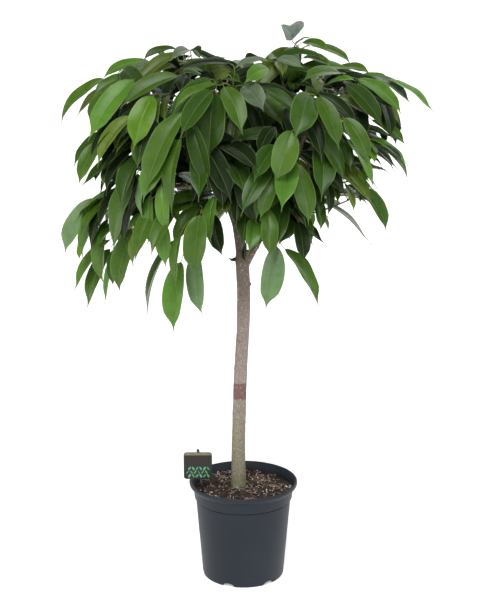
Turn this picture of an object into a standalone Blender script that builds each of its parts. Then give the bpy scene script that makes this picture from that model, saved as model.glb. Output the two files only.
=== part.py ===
"""A potted banana leaf fig: a standard fig tree on one clear stem, in a nursery pot.

Metres, +Z up. The origin is the middle of the pot's base, on the floor, and the tree
faces -Y. Every leafy shoot is one solid: a twig with the leaves that grow from it.
"""

import math
import random

import bmesh
import bpy
from mathutils import Matrix, Quaternion, Vector
from mathutils.bvhtree import BVHTree

UP = Vector((0.0, 0.0, 1.0))
GAP = 0.0003

# Nursery pot: a turned wall, (radius, height), from the pad under its middle round the
# foot ring and the rim to the inner floor
POT_SIDES = 24
FLOOR_UNDER = 0.0095
FLOOR_TOP = 0.0115
POT_OUTSIDE = (
    (0.0, 0.0), (0.0200, 0.0), (0.0240, FLOOR_UNDER), (0.0800, FLOOR_UNDER), (0.0830, 0.0),
    (0.0885, 0.0), (0.0906, 0.0040), (0.1052, 0.1800), (0.1082, 0.1812), (0.1104, 0.2030),
    (0.1150, 0.2062), (0.1192, 0.2110), (0.1200, 0.2165), (0.1185, 0.2200),
)
POT_INSIDE = (
    (0.1152, 0.2192), (0.1112, 0.2110), (0.1084, 0.2030), (0.1062, 0.1830),
    (0.1030, 0.1790), (0.0884, FLOOR_TOP), (0.0, FLOOR_TOP),
)
NOTCHES = 6
NOTCH_SIDES = 8
NOTCH_TURN = math.radians(-51.5)
NOTCH_WIDTH = 0.028
NOTCH_HEIGHT = 0.0085
NOTCH_INNER, NOTCH_OUTER = 0.076, 0.100
DRAINS = 4
DRAIN_SIDES = 6
DRAIN_RADIUS = 0.0055
DRAIN_CIRCLE = 0.058
CUT_PAST = 0.004

# Potting mix: its level, how far its top rises and falls, and the rings of its top as
# shares of the pot's inside
SOIL_LEVEL = 0.2010
SOIL_RELIEF = 0.0030
SOIL_RINGS = (0.80, 0.42)
SOIL_LOBES = ((3, 19.0, 0.625), (5, -40.0, 0.375))

# Stem: centreline and radius by height, (z, x, radius), upright inside the potting mix
STEM_SIDES = 12
STEM = (
    (0.105, -0.0102, 0.0168), (0.206, -0.0102, 0.0168), (0.226, -0.0103, 0.0162),
    (0.290, -0.0108, 0.0148), (0.405, -0.0082, 0.0147), (0.497, -0.0047, 0.0143),
    (0.564, -0.0008, 0.0140), (0.631, 0.0007, 0.0145), (0.675, -0.0004, 0.0143),
    (0.712, -0.0022, 0.0148), (0.741, -0.0030, 0.0140),
)

# Limbs: a route of points, then the radius at the root and at the tip
LIMB_SIDES = 6
LIMB_STEP = 0.052
LIMBS = {
    "left": (((-0.003, 0.0, 0.715), (-0.009, 0.002, 0.770), (-0.024, 0.006, 0.840),
              (-0.045, 0.010, 0.885), (-0.078, 0.012, 0.940), (-0.105, 0.016, 1.010),
              (-0.118, 0.012, 1.065)), 0.0125, 0.0042),
    "right": (((-0.001, 0.0, 0.700), (0.014, 0.0, 0.728), (0.036, -0.002, 0.772),
               (0.066, -0.006, 0.840), (0.098, -0.010, 0.915), (0.128, -0.014, 0.985),
               (0.150, -0.016, 1.045)), 0.0092, 0.0038),
    "leader": (((-0.012, 0.003, 0.785), (-0.006, 0.016, 0.850), (-0.003, 0.014, 0.940),
                (0.004, 0.008, 1.020), (0.016, 0.000, 1.110)), 0.0090, 0.0040),
    "low_left": (((-0.034, 0.007, 0.862), (-0.068, -0.004, 0.884), (-0.105, -0.018, 0.886),
                  (-0.150, -0.034, 0.884), (-0.205, -0.048, 0.890)), 0.0066, 0.0034),
    "low_right": (((0.046, -0.003, 0.795), (0.082, -0.018, 0.830), (0.125, -0.034, 0.858),
                   (0.180, -0.046, 0.884)), 0.0060, 0.0034),
    "front": (((-0.016, 0.003, 0.805), (-0.020, -0.040, 0.846), (-0.024, -0.085, 0.882),
               (-0.022, -0.135, 0.925)), 0.0062, 0.0034),
    "back_left": (((-0.004, 0.002, 0.748), (-0.022, 0.052, 0.800), (-0.052, 0.110, 0.862),
                   (-0.084, 0.158, 0.940), (-0.100, 0.180, 1.010)), 0.0078, 0.0036),
    "back_right": (((0.030, 0.0, 0.762), (0.046, 0.046, 0.812), (0.072, 0.102, 0.872),
                    (0.100, 0.150, 0.945), (0.112, 0.172, 1.010)), 0.0072, 0.0036),
    "front_left": (((-0.048, 0.010, 0.890), (-0.078, -0.040, 0.942), (-0.104, -0.085, 0.990),
                    (-0.122, -0.125, 1.030)), 0.0056, 0.0034),
    "front_right": (((0.070, -0.006, 0.848), (0.092, -0.052, 0.910), (0.112, -0.095, 0.965),
                     (0.124, -0.130, 1.010)), 0.0056, 0.0034),
    "top_front": (((-0.002, 0.012, 0.962), (-0.012, -0.038, 1.018), (-0.016, -0.085, 1.056)),
                  0.0052, 0.0034),
}
CUT_STUB = (((-0.003, 0.0, 0.722), (-0.024, -0.004, 0.727)), 0.0056, 0.0052)

# Plant label: a card held by a stake that leans outward from the potting mix
CARD_SIZE = 0.062
CARD_THICKNESS = 0.0010
CARD_CORNER = 0.006
CARD_BELOW_TOP = 0.0065
STAKE_WIDTH = 0.0060
STAKE_THICKNESS = 0.0030
STAKE_TILT = math.radians(6)
STAKE_TOP = Vector((-0.0995, -0.0350, 0.3040))
STAKE_LENGTH = 0.150
STAKE_POINT = 0.020

# The eye in front of the tree, in metres and pixels: a leaf that shows there is placed
# along its line of sight
EYE = Vector((-0.0073, -3.0, 1.393))
EYE_PITCH = math.radians(14.25)
EYE_FOCAL = 1438.0
EYE_MIDDLE = (240.0, 300.0)
EYE_FORWARD = Vector((0.0, math.cos(EYE_PITCH), -math.sin(EYE_PITCH)))
EYE_UP = Vector((0.0, math.sin(EYE_PITCH), math.cos(EYE_PITCH)))
PIXEL = 0.00213

# The crown turned round the stem, (height, radius), how far of that it comes forward, the
# step inward from one layer of leaves to the next, and the farthest back of a front leaf
CROWN = (
    (0.60, 0.33), (0.76, 0.36), (0.91, 0.37), (1.04, 0.36), (1.08, 0.31), (1.14, 0.22), (1.20, 0.08),
)
FORWARD = 0.80
LAYER_STEP = 0.028
FARTHEST_BACK = 0.10

# A leaf: its petiole, the rib of its blade, the fold along it, the bow of its spine, and
# the (share of length, share of width) of the sections across its blade
PETIOLE_HALF = 0.0012
GROOVE = 0.4
RIB_HALF = 0.0007
FOLD = math.radians(12)
BOW = 0.20
BOW_FORWARD = 0.5
STATIONS = ((0.20, 0.78), (0.47, 1.0), (0.78, 0.56))
PLAIN_STATIONS = ((0.30, 0.94), (0.66, 0.80))
SHAPED_LAYERS = 2

# A front leaf: width as a share of length, the shortest length of a leaf and of a small
# one, that one's width in pixels, the widest blade, allowances on the size seen, and how
# far inward its base may lie from its tip
SLENDERNESS = 0.34
SHORT_LEAF, SMALL_LEAF = 0.112, 0.088
SMALL_WIDTH = 7.5
WIDEST_LEAF = 0.075
LENGTH_MORE, WIDTH_MORE = 1.02, 1.04
INWARD_MORE, INWARD_LEAST = 0.01, 0.6
SKY_UP, SKY_OUT = 0.9, 0.6
SKY_FLAT = 0.3
MIDDLE_BAND = 0.02

# How a leaf is moved until it stands clear: along the line of sight in steps, then freely,
# with its tip swung, its blade rolled and, late on, its length cut
SEED = 11
TRIES = 160
RULE_TRIES = 8
SLIDE_STEP = 0.007
SLIDE_TRIES = 12
SLIDE_FREE = (-0.05, 0.06)
SWING_AFTER, SWING = 6, 0.030
ROLL_AFTER, ROLL, ROLL_START = 8, 0.7, 0.4
CUT_AFTER, CUT_LENGTH = 0.7, 0.85
GUARD = 0.0016
OWN_GUARD = 0.0002
ROOT_SLANT = (0.02, 0.06)
ROOT_OFFSET = 0.0004
OUTLINE_SHARES = (0.35, 0.7, 1.0)

# Twigs: the run from the seat to the bud, and where along it petioles may leave
TWIG_SIDES = 4
TWIG_RINGS = 4
TWIG_ROOT, TWIG_TIP = 0.0030, 0.0014
TWIG_TAPER = 0.8
TWIG_EASE = 0.34
BUD = 0.010
ROOT_FROM, ROOT_SPAN, ROOT_STEPS, ROOT_LOWEST = 0.22, 0.75, 30, 0.18
SHARPEST_BEND, BEND_PENALTY = -0.15, 0.2

# Seats on the limbs, and what makes one costly: a bend in the twig, or too short a twig
SEAT_SPACING = 0.013
SEAT_SHARES = (0.2, 0.5, 0.8)
SEAT_LIFTS, SEAT_LIFT = 6, 0.0001
BEND_COST = 1.7
SHORT_TWIG = 0.05

# A front shoot's twig: it comes from a heart below its leaves and ends at the farthest
HEART_IN, HEART_BELOW = 0.2, 0.10
END_SHARE = 0.6
END_OUTWARD = 0.8
END_LEAST = 0.01

# Front shoots, leaf by leaf as the eye sees them: base x, base y, tip x, tip y and width in
# pixels, then the layer, 0 in front
FRONT_SHOOTS = (
    ((134, 80, 89, 142, 21, 0), (130, 76, 91, 99, 10, 1), (150, 62, 100, 80, 10, 1),
     (104, 79, 58, 127, 10, 2), (120, 83, 75, 119, 9, 3), (158, 66, 128, 75, 8, 1),
     (108, 90, 89, 125, 10, 1)),
    ((178, 76, 120, 109, 14, 0), (205, 80, 178, 73, 5, 1), (180, 72, 161, 62, 10, 2),
     (187, 77, 180, 95, 12, 1)),
    ((176, 49, 141, 61, 7, 1), (165, 61, 154, 49, 7, 2), (189, 50, 171, 60, 10, 1),
     (200, 56, 190, 50, 11, 1)),
    ((213, 76, 226, 57, 14, 0), (214, 77, 228, 68, 5, 1), (213, 79, 183, 66, 8, 2),
     (220, 85, 171, 112, 8, 0)),
    ((153, 96, 134, 150, 24, 0), (160, 96, 158, 127, 8, 1), (168, 96, 165, 124, 8, 1)),
    ((132, 116, 97, 168, 13, 0), (130, 122, 115, 153, 8, 1), (132, 135, 116, 155, 6, 1),
     (120, 142, 104, 160, 8, 2), (112, 130, 72, 169, 9, 1), (100, 142, 79, 186, 15, 1)),
    ((134, 158, 81, 189, 10, 0), (104, 168, 95, 182, 5, 2), (112, 166, 102, 186, 10, 1),
     (120, 163, 115, 187, 5, 2), (137, 165, 115, 254, 17, 0), (146, 128, 137, 170, 16, 1)),
    ((97, 199, 64, 256, 19, 0), (112, 189, 81, 263, 15, 1), (114, 195, 90, 250, 10, 2),
     (84, 235, 80, 262, 6, 1)),
    ((110, 240, 75, 294, 10, 0), (110, 249, 89, 311, 15, 0), (113, 250, 113, 288, 12, 1),
     (122, 250, 107, 306, 7, 1), (135, 228, 119, 295, 19, 1)),
    ((146, 222, 133, 268, 9, 0), (141, 212, 131, 232, 6, 1), (138, 180, 124, 247, 14, 2),
     (147, 170, 143, 220, 6, 1), (151, 195, 152, 249, 12, 1)),
    ((160, 215, 166, 269, 16, 1), (163, 183, 167, 236, 14, 0), (160, 178, 157, 202, 8, 2),
     (176, 240, 148, 320, 6, 1), (178, 200, 178, 225, 6, 2)),
    ((179, 140, 142, 204, 21, 0), (184, 112, 146, 195, 22, 1), (191, 122, 209, 189, 18, 1),
     (181, 138, 174, 216, 13, 0), (190, 140, 203, 184, 14, 2)),
    ((212, 91, 180, 138, 19, 0), (214, 94, 209, 160, 31, 1), (228, 100, 221, 139, 8, 2)),
    ((224, 87, 242, 136, 20, 0), (228, 108, 237, 134, 9, 1), (243, 86, 264, 112, 20, 1),
     (222, 80, 242, 84, 9, 1), (268, 68, 244, 84, 15, 0), (246, 98, 258, 111, 9, 2)),
    ((200, 215, 194, 276, 23, 0), (182, 231, 178, 287, 9, 0), (215, 196, 211, 247, 12, 1),
     (181, 262, 175, 333, 21, 1), (196, 252, 202, 318, 18, 2), (212, 215, 222, 258, 17, 2),
     (199, 205, 173, 248, 14, 1), (226, 192, 219, 218, 9, 2), (231, 193, 226, 217, 9, 2)),
    ((254, 219, 249, 254, 15, 0), (246, 243, 245, 264, 5, 1), (238, 190, 236, 228, 14, 2),
     (236, 180, 257, 227, 12, 2), (238, 160, 241, 193, 18, 2)),
    ((274, 127, 258, 157, 14, 1), (276, 146, 254, 183, 18, 0), (262, 170, 255, 222, 14, 1),
     (273, 172, 260, 221, 16, 1), (280, 166, 283, 206, 20, 1)),
    ((292, 131, 276, 184, 25, 0), (293, 163, 309, 226, 21, 1)),
    ((268, 209, 270, 259, 17, 0), (276, 246, 265, 310, 23, 1), (285, 249, 318, 309, 13, 1),
     (277, 212, 325, 247, 10, 2)),
    ((298, 222, 304, 264, 16, 1), (285, 195, 310, 226, 14, 2)),
    ((309, 94, 295, 140, 27, 0), (317, 97, 339, 151, 17, 0), (266, 90, 298, 117, 12, 0),
     (254, 87, 300, 108, 10, 1)),
    ((358, 79, 403, 116, 13, 0), (372, 77, 411, 106, 10, 1), (388, 80, 434, 115, 6, 0),
     (357, 79, 393, 82, 6, 1), (347, 85, 383, 128, 17, 1), (318, 94, 357, 130, 11, 2),
     (335, 98, 384, 128, 11, 2), (372, 120, 406, 147, 10, 2)),
    ((292, 40, 279, 24, 20, 0), (302, 43, 330, 52, 9, 0), (312, 46, 353, 65, 8, 1),
     (277, 57, 329, 62, 6, 1)),
    ((277, 59, 304, 70, 10, 0), (276, 58, 268, 61, 7, 1), (280, 61, 283, 77, 12, 1),
     (294, 90, 292, 69, 16, 1), (303, 58, 333, 68, 8, 1), (268, 61, 232, 70, 6, 1)),
    ((340, 73, 301, 82, 11, 0), (334, 69, 372, 74, 8, 1), (325, 86, 357, 80, 5, 1)),
    ((308, 124, 345, 186, 16, 1), (344, 118, 369, 165, 17, 0), (347, 139, 373, 190, 9, 0),
     (342, 140, 351, 172, 12, 1)),
    ((369, 139, 408, 167, 6, 0), (369, 141, 410, 182, 5, 0), (367, 147, 375, 165, 7, 1),
     (362, 138, 378, 157, 3, 1)),
    ((345, 184, 354, 213, 6, 1), (347, 185, 368, 204, 6, 1), (360, 187, 387, 233, 13, 0),
     (357, 190, 360, 204, 7, 1), (358, 168, 364, 186, 9, 1)),
    ((300, 152, 347, 199, 16, 1), (327, 178, 328, 218, 9, 1), (331, 183, 338, 204, 7, 2),
     (312, 168, 320, 190, 12, 2)),
    ((314, 199, 370, 247, 3, 0), (319, 200, 321, 232, 11, 1), (316, 208, 329, 233, 4, 1)),
)

# The crown's outline as the eye sees it, in pixels, clockwise from its left tip
OUTLINE = (
    (66, 112), (100, 80), (141, 60), (170, 48), (205, 50), (232, 62), (262, 55), (277, 42),
    (300, 40), (345, 60), (391, 80), (431, 112), (402, 138), (408, 166), (380, 185), (386, 228),
    (360, 205), (340, 205), (322, 246), (300, 262), (262, 250), (248, 262), (232, 228),
    (224, 212), (214, 246), (196, 262), (184, 215), (176, 200), (168, 236), (150, 262),
    (125, 285), (90, 308), (76, 290), (66, 252), (80, 210), (98, 192), (80, 184), (74, 166),
    (88, 140),
)

# Back shoots, turned round the stem by rule: angles, heights, reach as a share of the
# crown's radius, and the length and direction of their twigs
BACK_SHOOTS = 15
BACK_FROM, BACK_TO = math.radians(-14), math.radians(194)
BACK_FIRST, BACK_TURN = 0.5, 0.618
BACK_LOW, BACK_HIGH = 0.815, 1.125
BACK_REACH = 0.66
BACK_TWIG = 0.13
BACK_OUT, BACK_UP = 0.9, 0.35

# Leaves by rule: how many inner ones a front shoot has and how many a back shoot, on which
# part of the twig, and each one's length, turn, pull along each direction, and face
INNER_LEAVES, INNER_PART = 2, (0.35, 0.75)
BACK_LEAVES, BACK_PART = 7, (0.42, 0.97)
PART_START = 0.4
REDRAWS = 14
TURN = math.radians(137.5)
TURN_WANDER = 0.3
RULE_LENGTHS = (0.125, 0.168)
RULE_WIDTHS = (0.92, 1.10)
BASE_OUT, BASE_AHEAD = 0.020, 0.010
PULL_SPOKE, PULL_AHEAD, PULL_OUT, PULL_DOWN = 0.7, 0.35, (0.0, 0.35), (0.55, 1.05)
FACE_UP, FACE_OUT, FACE_SPOKE = 0.8, 0.7, 0.4

# Finishes: colour, roughness, metallic
FINISHES = {
    "moulded_pot": ((0.038, 0.047, 0.060), 0.45, 0.0),
    "potting_mix": ((0.042, 0.019, 0.010), 0.95, 0.0),
    "bark": ((0.270, 0.235, 0.180), 0.80, 0.0),
    "leaf": ((0.075, 0.190, 0.035), 0.42, 0.0),
    "printed_card": ((0.080, 0.150, 0.050), 0.50, 0.0),
    "stake_plastic": ((0.012, 0.012, 0.013), 0.50, 0.0),
}
SMOOTH_TURNED = math.radians(35)
SMOOTH_GROWN = math.radians(75)


def finish(name):
    material = bpy.data.materials.get(name)
    if material:
        return material
    colour, roughness, metallic = FINISHES[name]
    material = bpy.data.materials.new(name)
    material.use_nodes = True
    shader = material.node_tree.nodes["Principled BSDF"]
    shader.inputs["Base Color"].default_value = (*colour, 1.0)
    shader.inputs["Roughness"].default_value = roughness
    shader.inputs["Metallic"].default_value = metallic
    return material


def piece_of(name, shell, material):
    """A named object from a closed shell, with its faces turned outward."""
    bmesh.ops.recalc_face_normals(shell, faces=shell.faces)
    mesh = bpy.data.meshes.new(name)
    shell.to_mesh(mesh)
    shell.free()
    mesh.materials.append(finish(material))
    piece = bpy.data.objects.new(name, mesh)
    bpy.context.scene.collection.objects.link(piece)
    return piece


def shell_of(points, faces):
    """A closed shell from points and the faces between them."""
    shell = bmesh.new()
    corners = [shell.verts.new(point) for point in points]
    for face in faces:
        shell.faces.new([corners[k] for k in face])
    return shell


def smooth(piece, angle):
    piece.data.shade_smooth()
    piece.data.set_sharp_from_angle(angle=angle)


def boolean(piece, operation, cutters):
    """One Boolean with a collection of solids, applied, and the solids removed."""
    group = bpy.data.collections.new(f"{piece.name}_{operation.lower()}")
    bpy.context.scene.collection.children.link(group)
    for cutter in cutters:
        bpy.context.scene.collection.objects.unlink(cutter)
        group.objects.link(cutter)
    modifier = piece.modifiers.new(operation.title(), "BOOLEAN")
    modifier.operation = operation
    modifier.operand_type = "COLLECTION"
    modifier.collection = group
    modifier.solver = "EXACT"
    graph = bpy.context.evaluated_depsgraph_get()
    joined = bpy.data.meshes.new_from_object(piece.evaluated_get(graph))
    piece.modifiers.clear()
    piece.data = joined
    for cutter in cutters:
        bpy.data.objects.remove(cutter)
    bpy.data.collections.remove(group)


def turned(profile):
    """A closed shell spun from a (radius, height) profile that starts and ends on the axis."""
    shell = bmesh.new()
    run = [shell.verts.new((radius, 0.0, height)) for radius, height in profile]
    for low, high in zip(run, run[1:]):
        shell.edges.new((low, high))
    bmesh.ops.spin(
        shell, geom=shell.verts[:] + shell.edges[:], axis=UP, cent=(0.0, 0.0, 0.0),
        angle=math.tau, steps=POT_SIDES, use_merge=True,
    )
    bmesh.ops.remove_doubles(shell, verts=shell.verts, dist=GAP / 10)
    return shell


def drum(name, sides, radius, depth, matrix, material):
    """A plain cutter: a cylinder set in place by a matrix."""
    shell = bmesh.new()
    bmesh.ops.create_cone(
        shell, cap_ends=True, segments=sides, radius1=radius, radius2=radius, depth=depth,
        matrix=matrix,
    )
    return piece_of(name, shell, material)


def notch(turn):
    """An arched cutter across the foot ring, half sunk below the floor."""
    middle = Vector(((NOTCH_INNER + NOTCH_OUTER) / 2, 0.0, 0.0))
    along_x = Matrix.Rotation(math.pi / 2, 4, "Y")
    oval = Matrix.Diagonal((NOTCH_HEIGHT, NOTCH_WIDTH / 2, 1.0, 1.0))
    matrix = Matrix.Rotation(turn, 4, "Z") @ Matrix.Translation(middle) @ along_x @ oval
    return drum("notch", NOTCH_SIDES, 1.0, NOTCH_OUTER - NOTCH_INNER, matrix, "moulded_pot")


def drain(turn):
    middle = Vector((DRAIN_CIRCLE * math.cos(turn), DRAIN_CIRCLE * math.sin(turn), 0.0))
    middle.z = (FLOOR_UNDER + FLOOR_TOP) / 2
    depth = FLOOR_TOP - FLOOR_UNDER + 2 * CUT_PAST
    return drum("drain", DRAIN_SIDES, DRAIN_RADIUS, depth, Matrix.Translation(middle), "moulded_pot")


def make_pot():
    pot = piece_of("nursery_pot", turned(POT_OUTSIDE + POT_INSIDE), "moulded_pot")
    cutters = [notch(NOTCH_TURN + math.tau * k / NOTCHES) for k in range(NOTCHES)]
    cutters += [drain(math.tau * (k + 0.5) / DRAINS) for k in range(DRAINS)]
    boolean(pot, "DIFFERENCE", cutters)
    smooth(pot, SMOOTH_TURNED)
    return pot


def relief(radius, angle):
    """How far the potting mix stands above or below its level."""
    return SOIL_RELIEF * sum(
        share * math.sin(lobes * angle + twist * radius) for lobes, twist, share in SOIL_LOBES
    )


def make_soil():
    """The potting mix fills the pot and has plain holes for the stem and the stake."""
    shoulder, step, wall, floor = POT_INSIDE[-5:-1]
    slope = (POT_INSIDE[-5][0] - step[0]) / (shoulder[1] - step[1])
    at_level = shoulder[0] + slope * (SOIL_LEVEL - shoulder[1])
    clear = 2 * GAP
    outline = [(0.0, FLOOR_TOP + GAP), (floor[0] - clear, FLOOR_TOP + GAP), (wall[0] - clear, wall[1]),
               (step[0] - clear, step[1]), (at_level - clear, SOIL_LEVEL - SOIL_RELIEF)]
    outline += [(share * at_level, SOIL_LEVEL) for share in SOIL_RINGS]
    shell = turned(outline + [(0.0, SOIL_LEVEL)])
    for vertex in shell.verts:
        radius = math.hypot(vertex.co.x, vertex.co.y)
        if vertex.co.z > SOIL_LEVEL - SOIL_RELIEF / 2 and radius > GAP:
            vertex.co.z += relief(radius, math.atan2(vertex.co.y, vertex.co.x))
    soil = piece_of("potting_mix", shell, "potting_mix")
    foot_z, foot_x, foot_radius = STEM[0]
    depth = SOIL_LEVEL + 2 * SOIL_RELIEF - foot_z + GAP
    middle = Matrix.Translation((foot_x, 0.0, foot_z - GAP + depth / 2))
    stem_hole = drum("stem_hole", STEM_SIDES, foot_radius + clear, depth, middle, "potting_mix")
    boolean(soil, "DIFFERENCE", [stem_hole, make_stake("stake_hole", clear)])
    smooth(soil, SMOOTH_TURNED)
    return soil


def smooth_route(route, step):
    """Points along a Catmull-Rom curve through a route, about a step apart."""
    points = [Vector(point) for point in route]
    ends = [2 * points[0] - points[1]] + points + [2 * points[-1] - points[-2]]
    run = []
    for k in range(1, len(ends) - 2):
        a, b, c, d = ends[k - 1:k + 3]
        pieces = max(1, round((c - b).length / step))
        for piece in range(pieces):
            t = piece / pieces
            square = (2 * a - 5 * b + 4 * c - d) * t * t
            cube = (3 * b - a - 3 * c + d) * t ** 3
            run.append(0.5 * (2 * b + (c - a) * t + square + cube))
    return run + [points[-1]]


def rings_of(run, radii, sides):
    """Rings of points square to a run, turned as little as possible from one to the next."""
    rings, side = [], None
    for k, point in enumerate(run):
        along = (run[min(k + 1, len(run) - 1)] - run[max(k - 1, 0)]).normalized()
        if side is None:
            side = along.orthogonal()
        side = (side - side.dot(along) * along).normalized()
        across = along.cross(side)
        turns = [math.tau * s / sides for s in range(sides)]
        rings.append([point + radii[k] * (math.cos(t) * side + math.sin(t) * across) for t in turns])
    return rings


def tube(rings, point_end=None):
    """Points and faces of a closed tube, with a flat end or one drawn to a point."""
    sides = len(rings[0])
    points = [point for ring in rings for point in ring]
    faces = [tuple(range(sides))]
    for row in range(len(rings) - 1):
        low, high = row * sides, (row + 1) * sides
        for s in range(sides):
            after = (s + 1) % sides
            faces.append((low + s, low + after, high + after, high + s))
    last = (len(rings) - 1) * sides
    if point_end is None:
        faces.append(tuple(range(last, last + sides)))
    else:
        points.append(point_end)
        faces += [(last + s, last + (s + 1) % sides, len(points) - 1) for s in range(sides)]
    return points, faces


def stem_rings():
    turns = [math.tau * s / STEM_SIDES for s in range(STEM_SIDES)]
    return [[Vector((x + radius * math.cos(t), radius * math.sin(t), z)) for t in turns]
            for z, x, radius in STEM]


def limb_rings(route, root, tip):
    run = smooth_route(route, LIMB_STEP)
    radii = [root + (tip - root) * k / (len(run) - 1) for k in range(len(run))]
    return run, rings_of(run, radii, LIMB_SIDES)


def seats_on(run, rings):
    """Where a twig can stand on a limb, (middle, way out): on its flats, and at its end."""
    seats = [(run[-1], (run[-1] - run[-2]).normalized())]
    for k in range(2, len(run) - 1):
        middle = (run[k] + run[k + 1]) / 2
        for s in range(LIMB_SIDES):
            after = (s + 1) % LIMB_SIDES
            low = (rings[k][s], rings[k][after])
            high = (rings[k + 1][s], rings[k + 1][after])
            out = (high[1] - low[0]).cross(high[0] - low[1]).normalized()
            if out.dot(sum(low + high, Vector()) / 4 - middle) < 0:
                out = -out
            for share in SEAT_SHARES:
                seats.append((((low[0] + low[1]) / 2).lerp((high[0] + high[1]) / 2, share), out))
    return seats


def make_trunk():
    """Stem and limbs, joined. Returns the object, its tubes and the seats where shoots grow."""
    tubes, seats = [tube(stem_rings())], []
    for limb in LIMBS.values():
        run, rings = limb_rings(*limb)
        tubes.append(tube(rings))
        seats += seats_on(run, rings)
    tubes.append(tube(limb_rings(*CUT_STUB)[1]))
    trunk = piece_of("trunk", shell_of(*tubes[0]), "bark")
    boolean(trunk, "UNION", [piece_of("limb", shell_of(*limb), "bark") for limb in tubes[1:]])
    smooth(trunk, SMOOTH_GROWN)
    return trunk, tubes, seats


def make_stake(name, grow=0.0):
    """The stake: a flat bar with a pointed foot, leaning outward over the rim."""
    half, thick = STAKE_WIDTH / 2 + grow, STAKE_THICKNESS / 2 + grow
    shoulder = STAKE_POINT - STAKE_LENGTH
    outline = ((-half, grow), (half, grow), (half, shoulder), (0.0, -STAKE_LENGTH - grow), (-half, shoulder))
    shell = bmesh.new()
    flat = shell.faces.new([shell.verts.new((x, -thick, z)) for x, z in outline])
    grown = bmesh.ops.extrude_face_region(shell, geom=[flat])["geom"]
    corners = [item for item in grown if isinstance(item, bmesh.types.BMVert)]
    bmesh.ops.translate(shell, vec=(0.0, 2 * thick, 0.0), verts=corners)
    stake = piece_of(name, shell, "stake_plastic")
    stake.location = STAKE_TOP
    stake.rotation_euler = (0.0, -STAKE_TILT, 0.0)
    return stake


def make_card():
    """A thin upright card with round corners, held flat against the front of the stake."""
    shell = bmesh.new()
    bmesh.ops.create_cube(shell, size=1.0, matrix=Matrix.Diagonal((CARD_SIZE, CARD_THICKNESS, CARD_SIZE, 1.0)))
    corners = [edge for edge in shell.edges if abs((edge.verts[0].co - edge.verts[1].co).y) > GAP]
    bmesh.ops.bevel(shell, geom=corners, offset=CARD_CORNER, segments=3, profile=0.5, affect="EDGES")
    card = piece_of("label_card", shell, "printed_card")
    forward = STAKE_THICKNESS / 2 + GAP + CARD_THICKNESS / 2
    card.location = STAKE_TOP - Vector((0.0, forward, CARD_BELOW_TOP + CARD_SIZE / 2))
    return card


def seen(x, y, depth):
    """The point at a given depth, as world Y, that the eye sees at a pixel."""
    line = EYE_FORWARD + EYE_UP * ((EYE_MIDDLE[1] - y) / EYE_FOCAL)
    line.x = (x - EYE_MIDDLE[0]) / EYE_FOCAL
    return EYE + line * ((depth - EYE.y) / line.y)


def within_outline(place):
    """Whether the eye sees a place inside the crown's outline."""
    line = place - EYE
    far = line.dot(EYE_FORWARD)
    x = EYE_MIDDLE[0] + EYE_FOCAL * line.x / far
    y = EYE_MIDDLE[1] - EYE_FOCAL * line.dot(EYE_UP) / far
    inside = False
    for (ax, ay), (bx, by) in zip(OUTLINE, OUTLINE[1:] + OUTLINE[:1]):
        if (ay > y) != (by > y) and x < ax + (bx - ax) * (y - ay) / (by - ay):
            inside = not inside
    return inside


def crown_radius(height):
    if height <= CROWN[0][0]:
        return CROWN[0][1]
    for (low, near), (high, far) in zip(CROWN, CROWN[1:]):
        if height <= high:
            return near + (far - near) * (height - low) / (high - low)
    return CROWN[-1][1]


def shell_depth(x, y, layer):
    """How far forward a leaf of a layer lies, as world Y, on the crown's domed front."""
    depth = 0.0
    for _ in range(4):
        place = seen(x, y, depth)
        depth = -FORWARD * math.sqrt(max(crown_radius(place.z) ** 2 - place.x ** 2, 0.0))
    return min(depth + LAYER_STEP * layer, FARTHEST_BACK)


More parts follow.
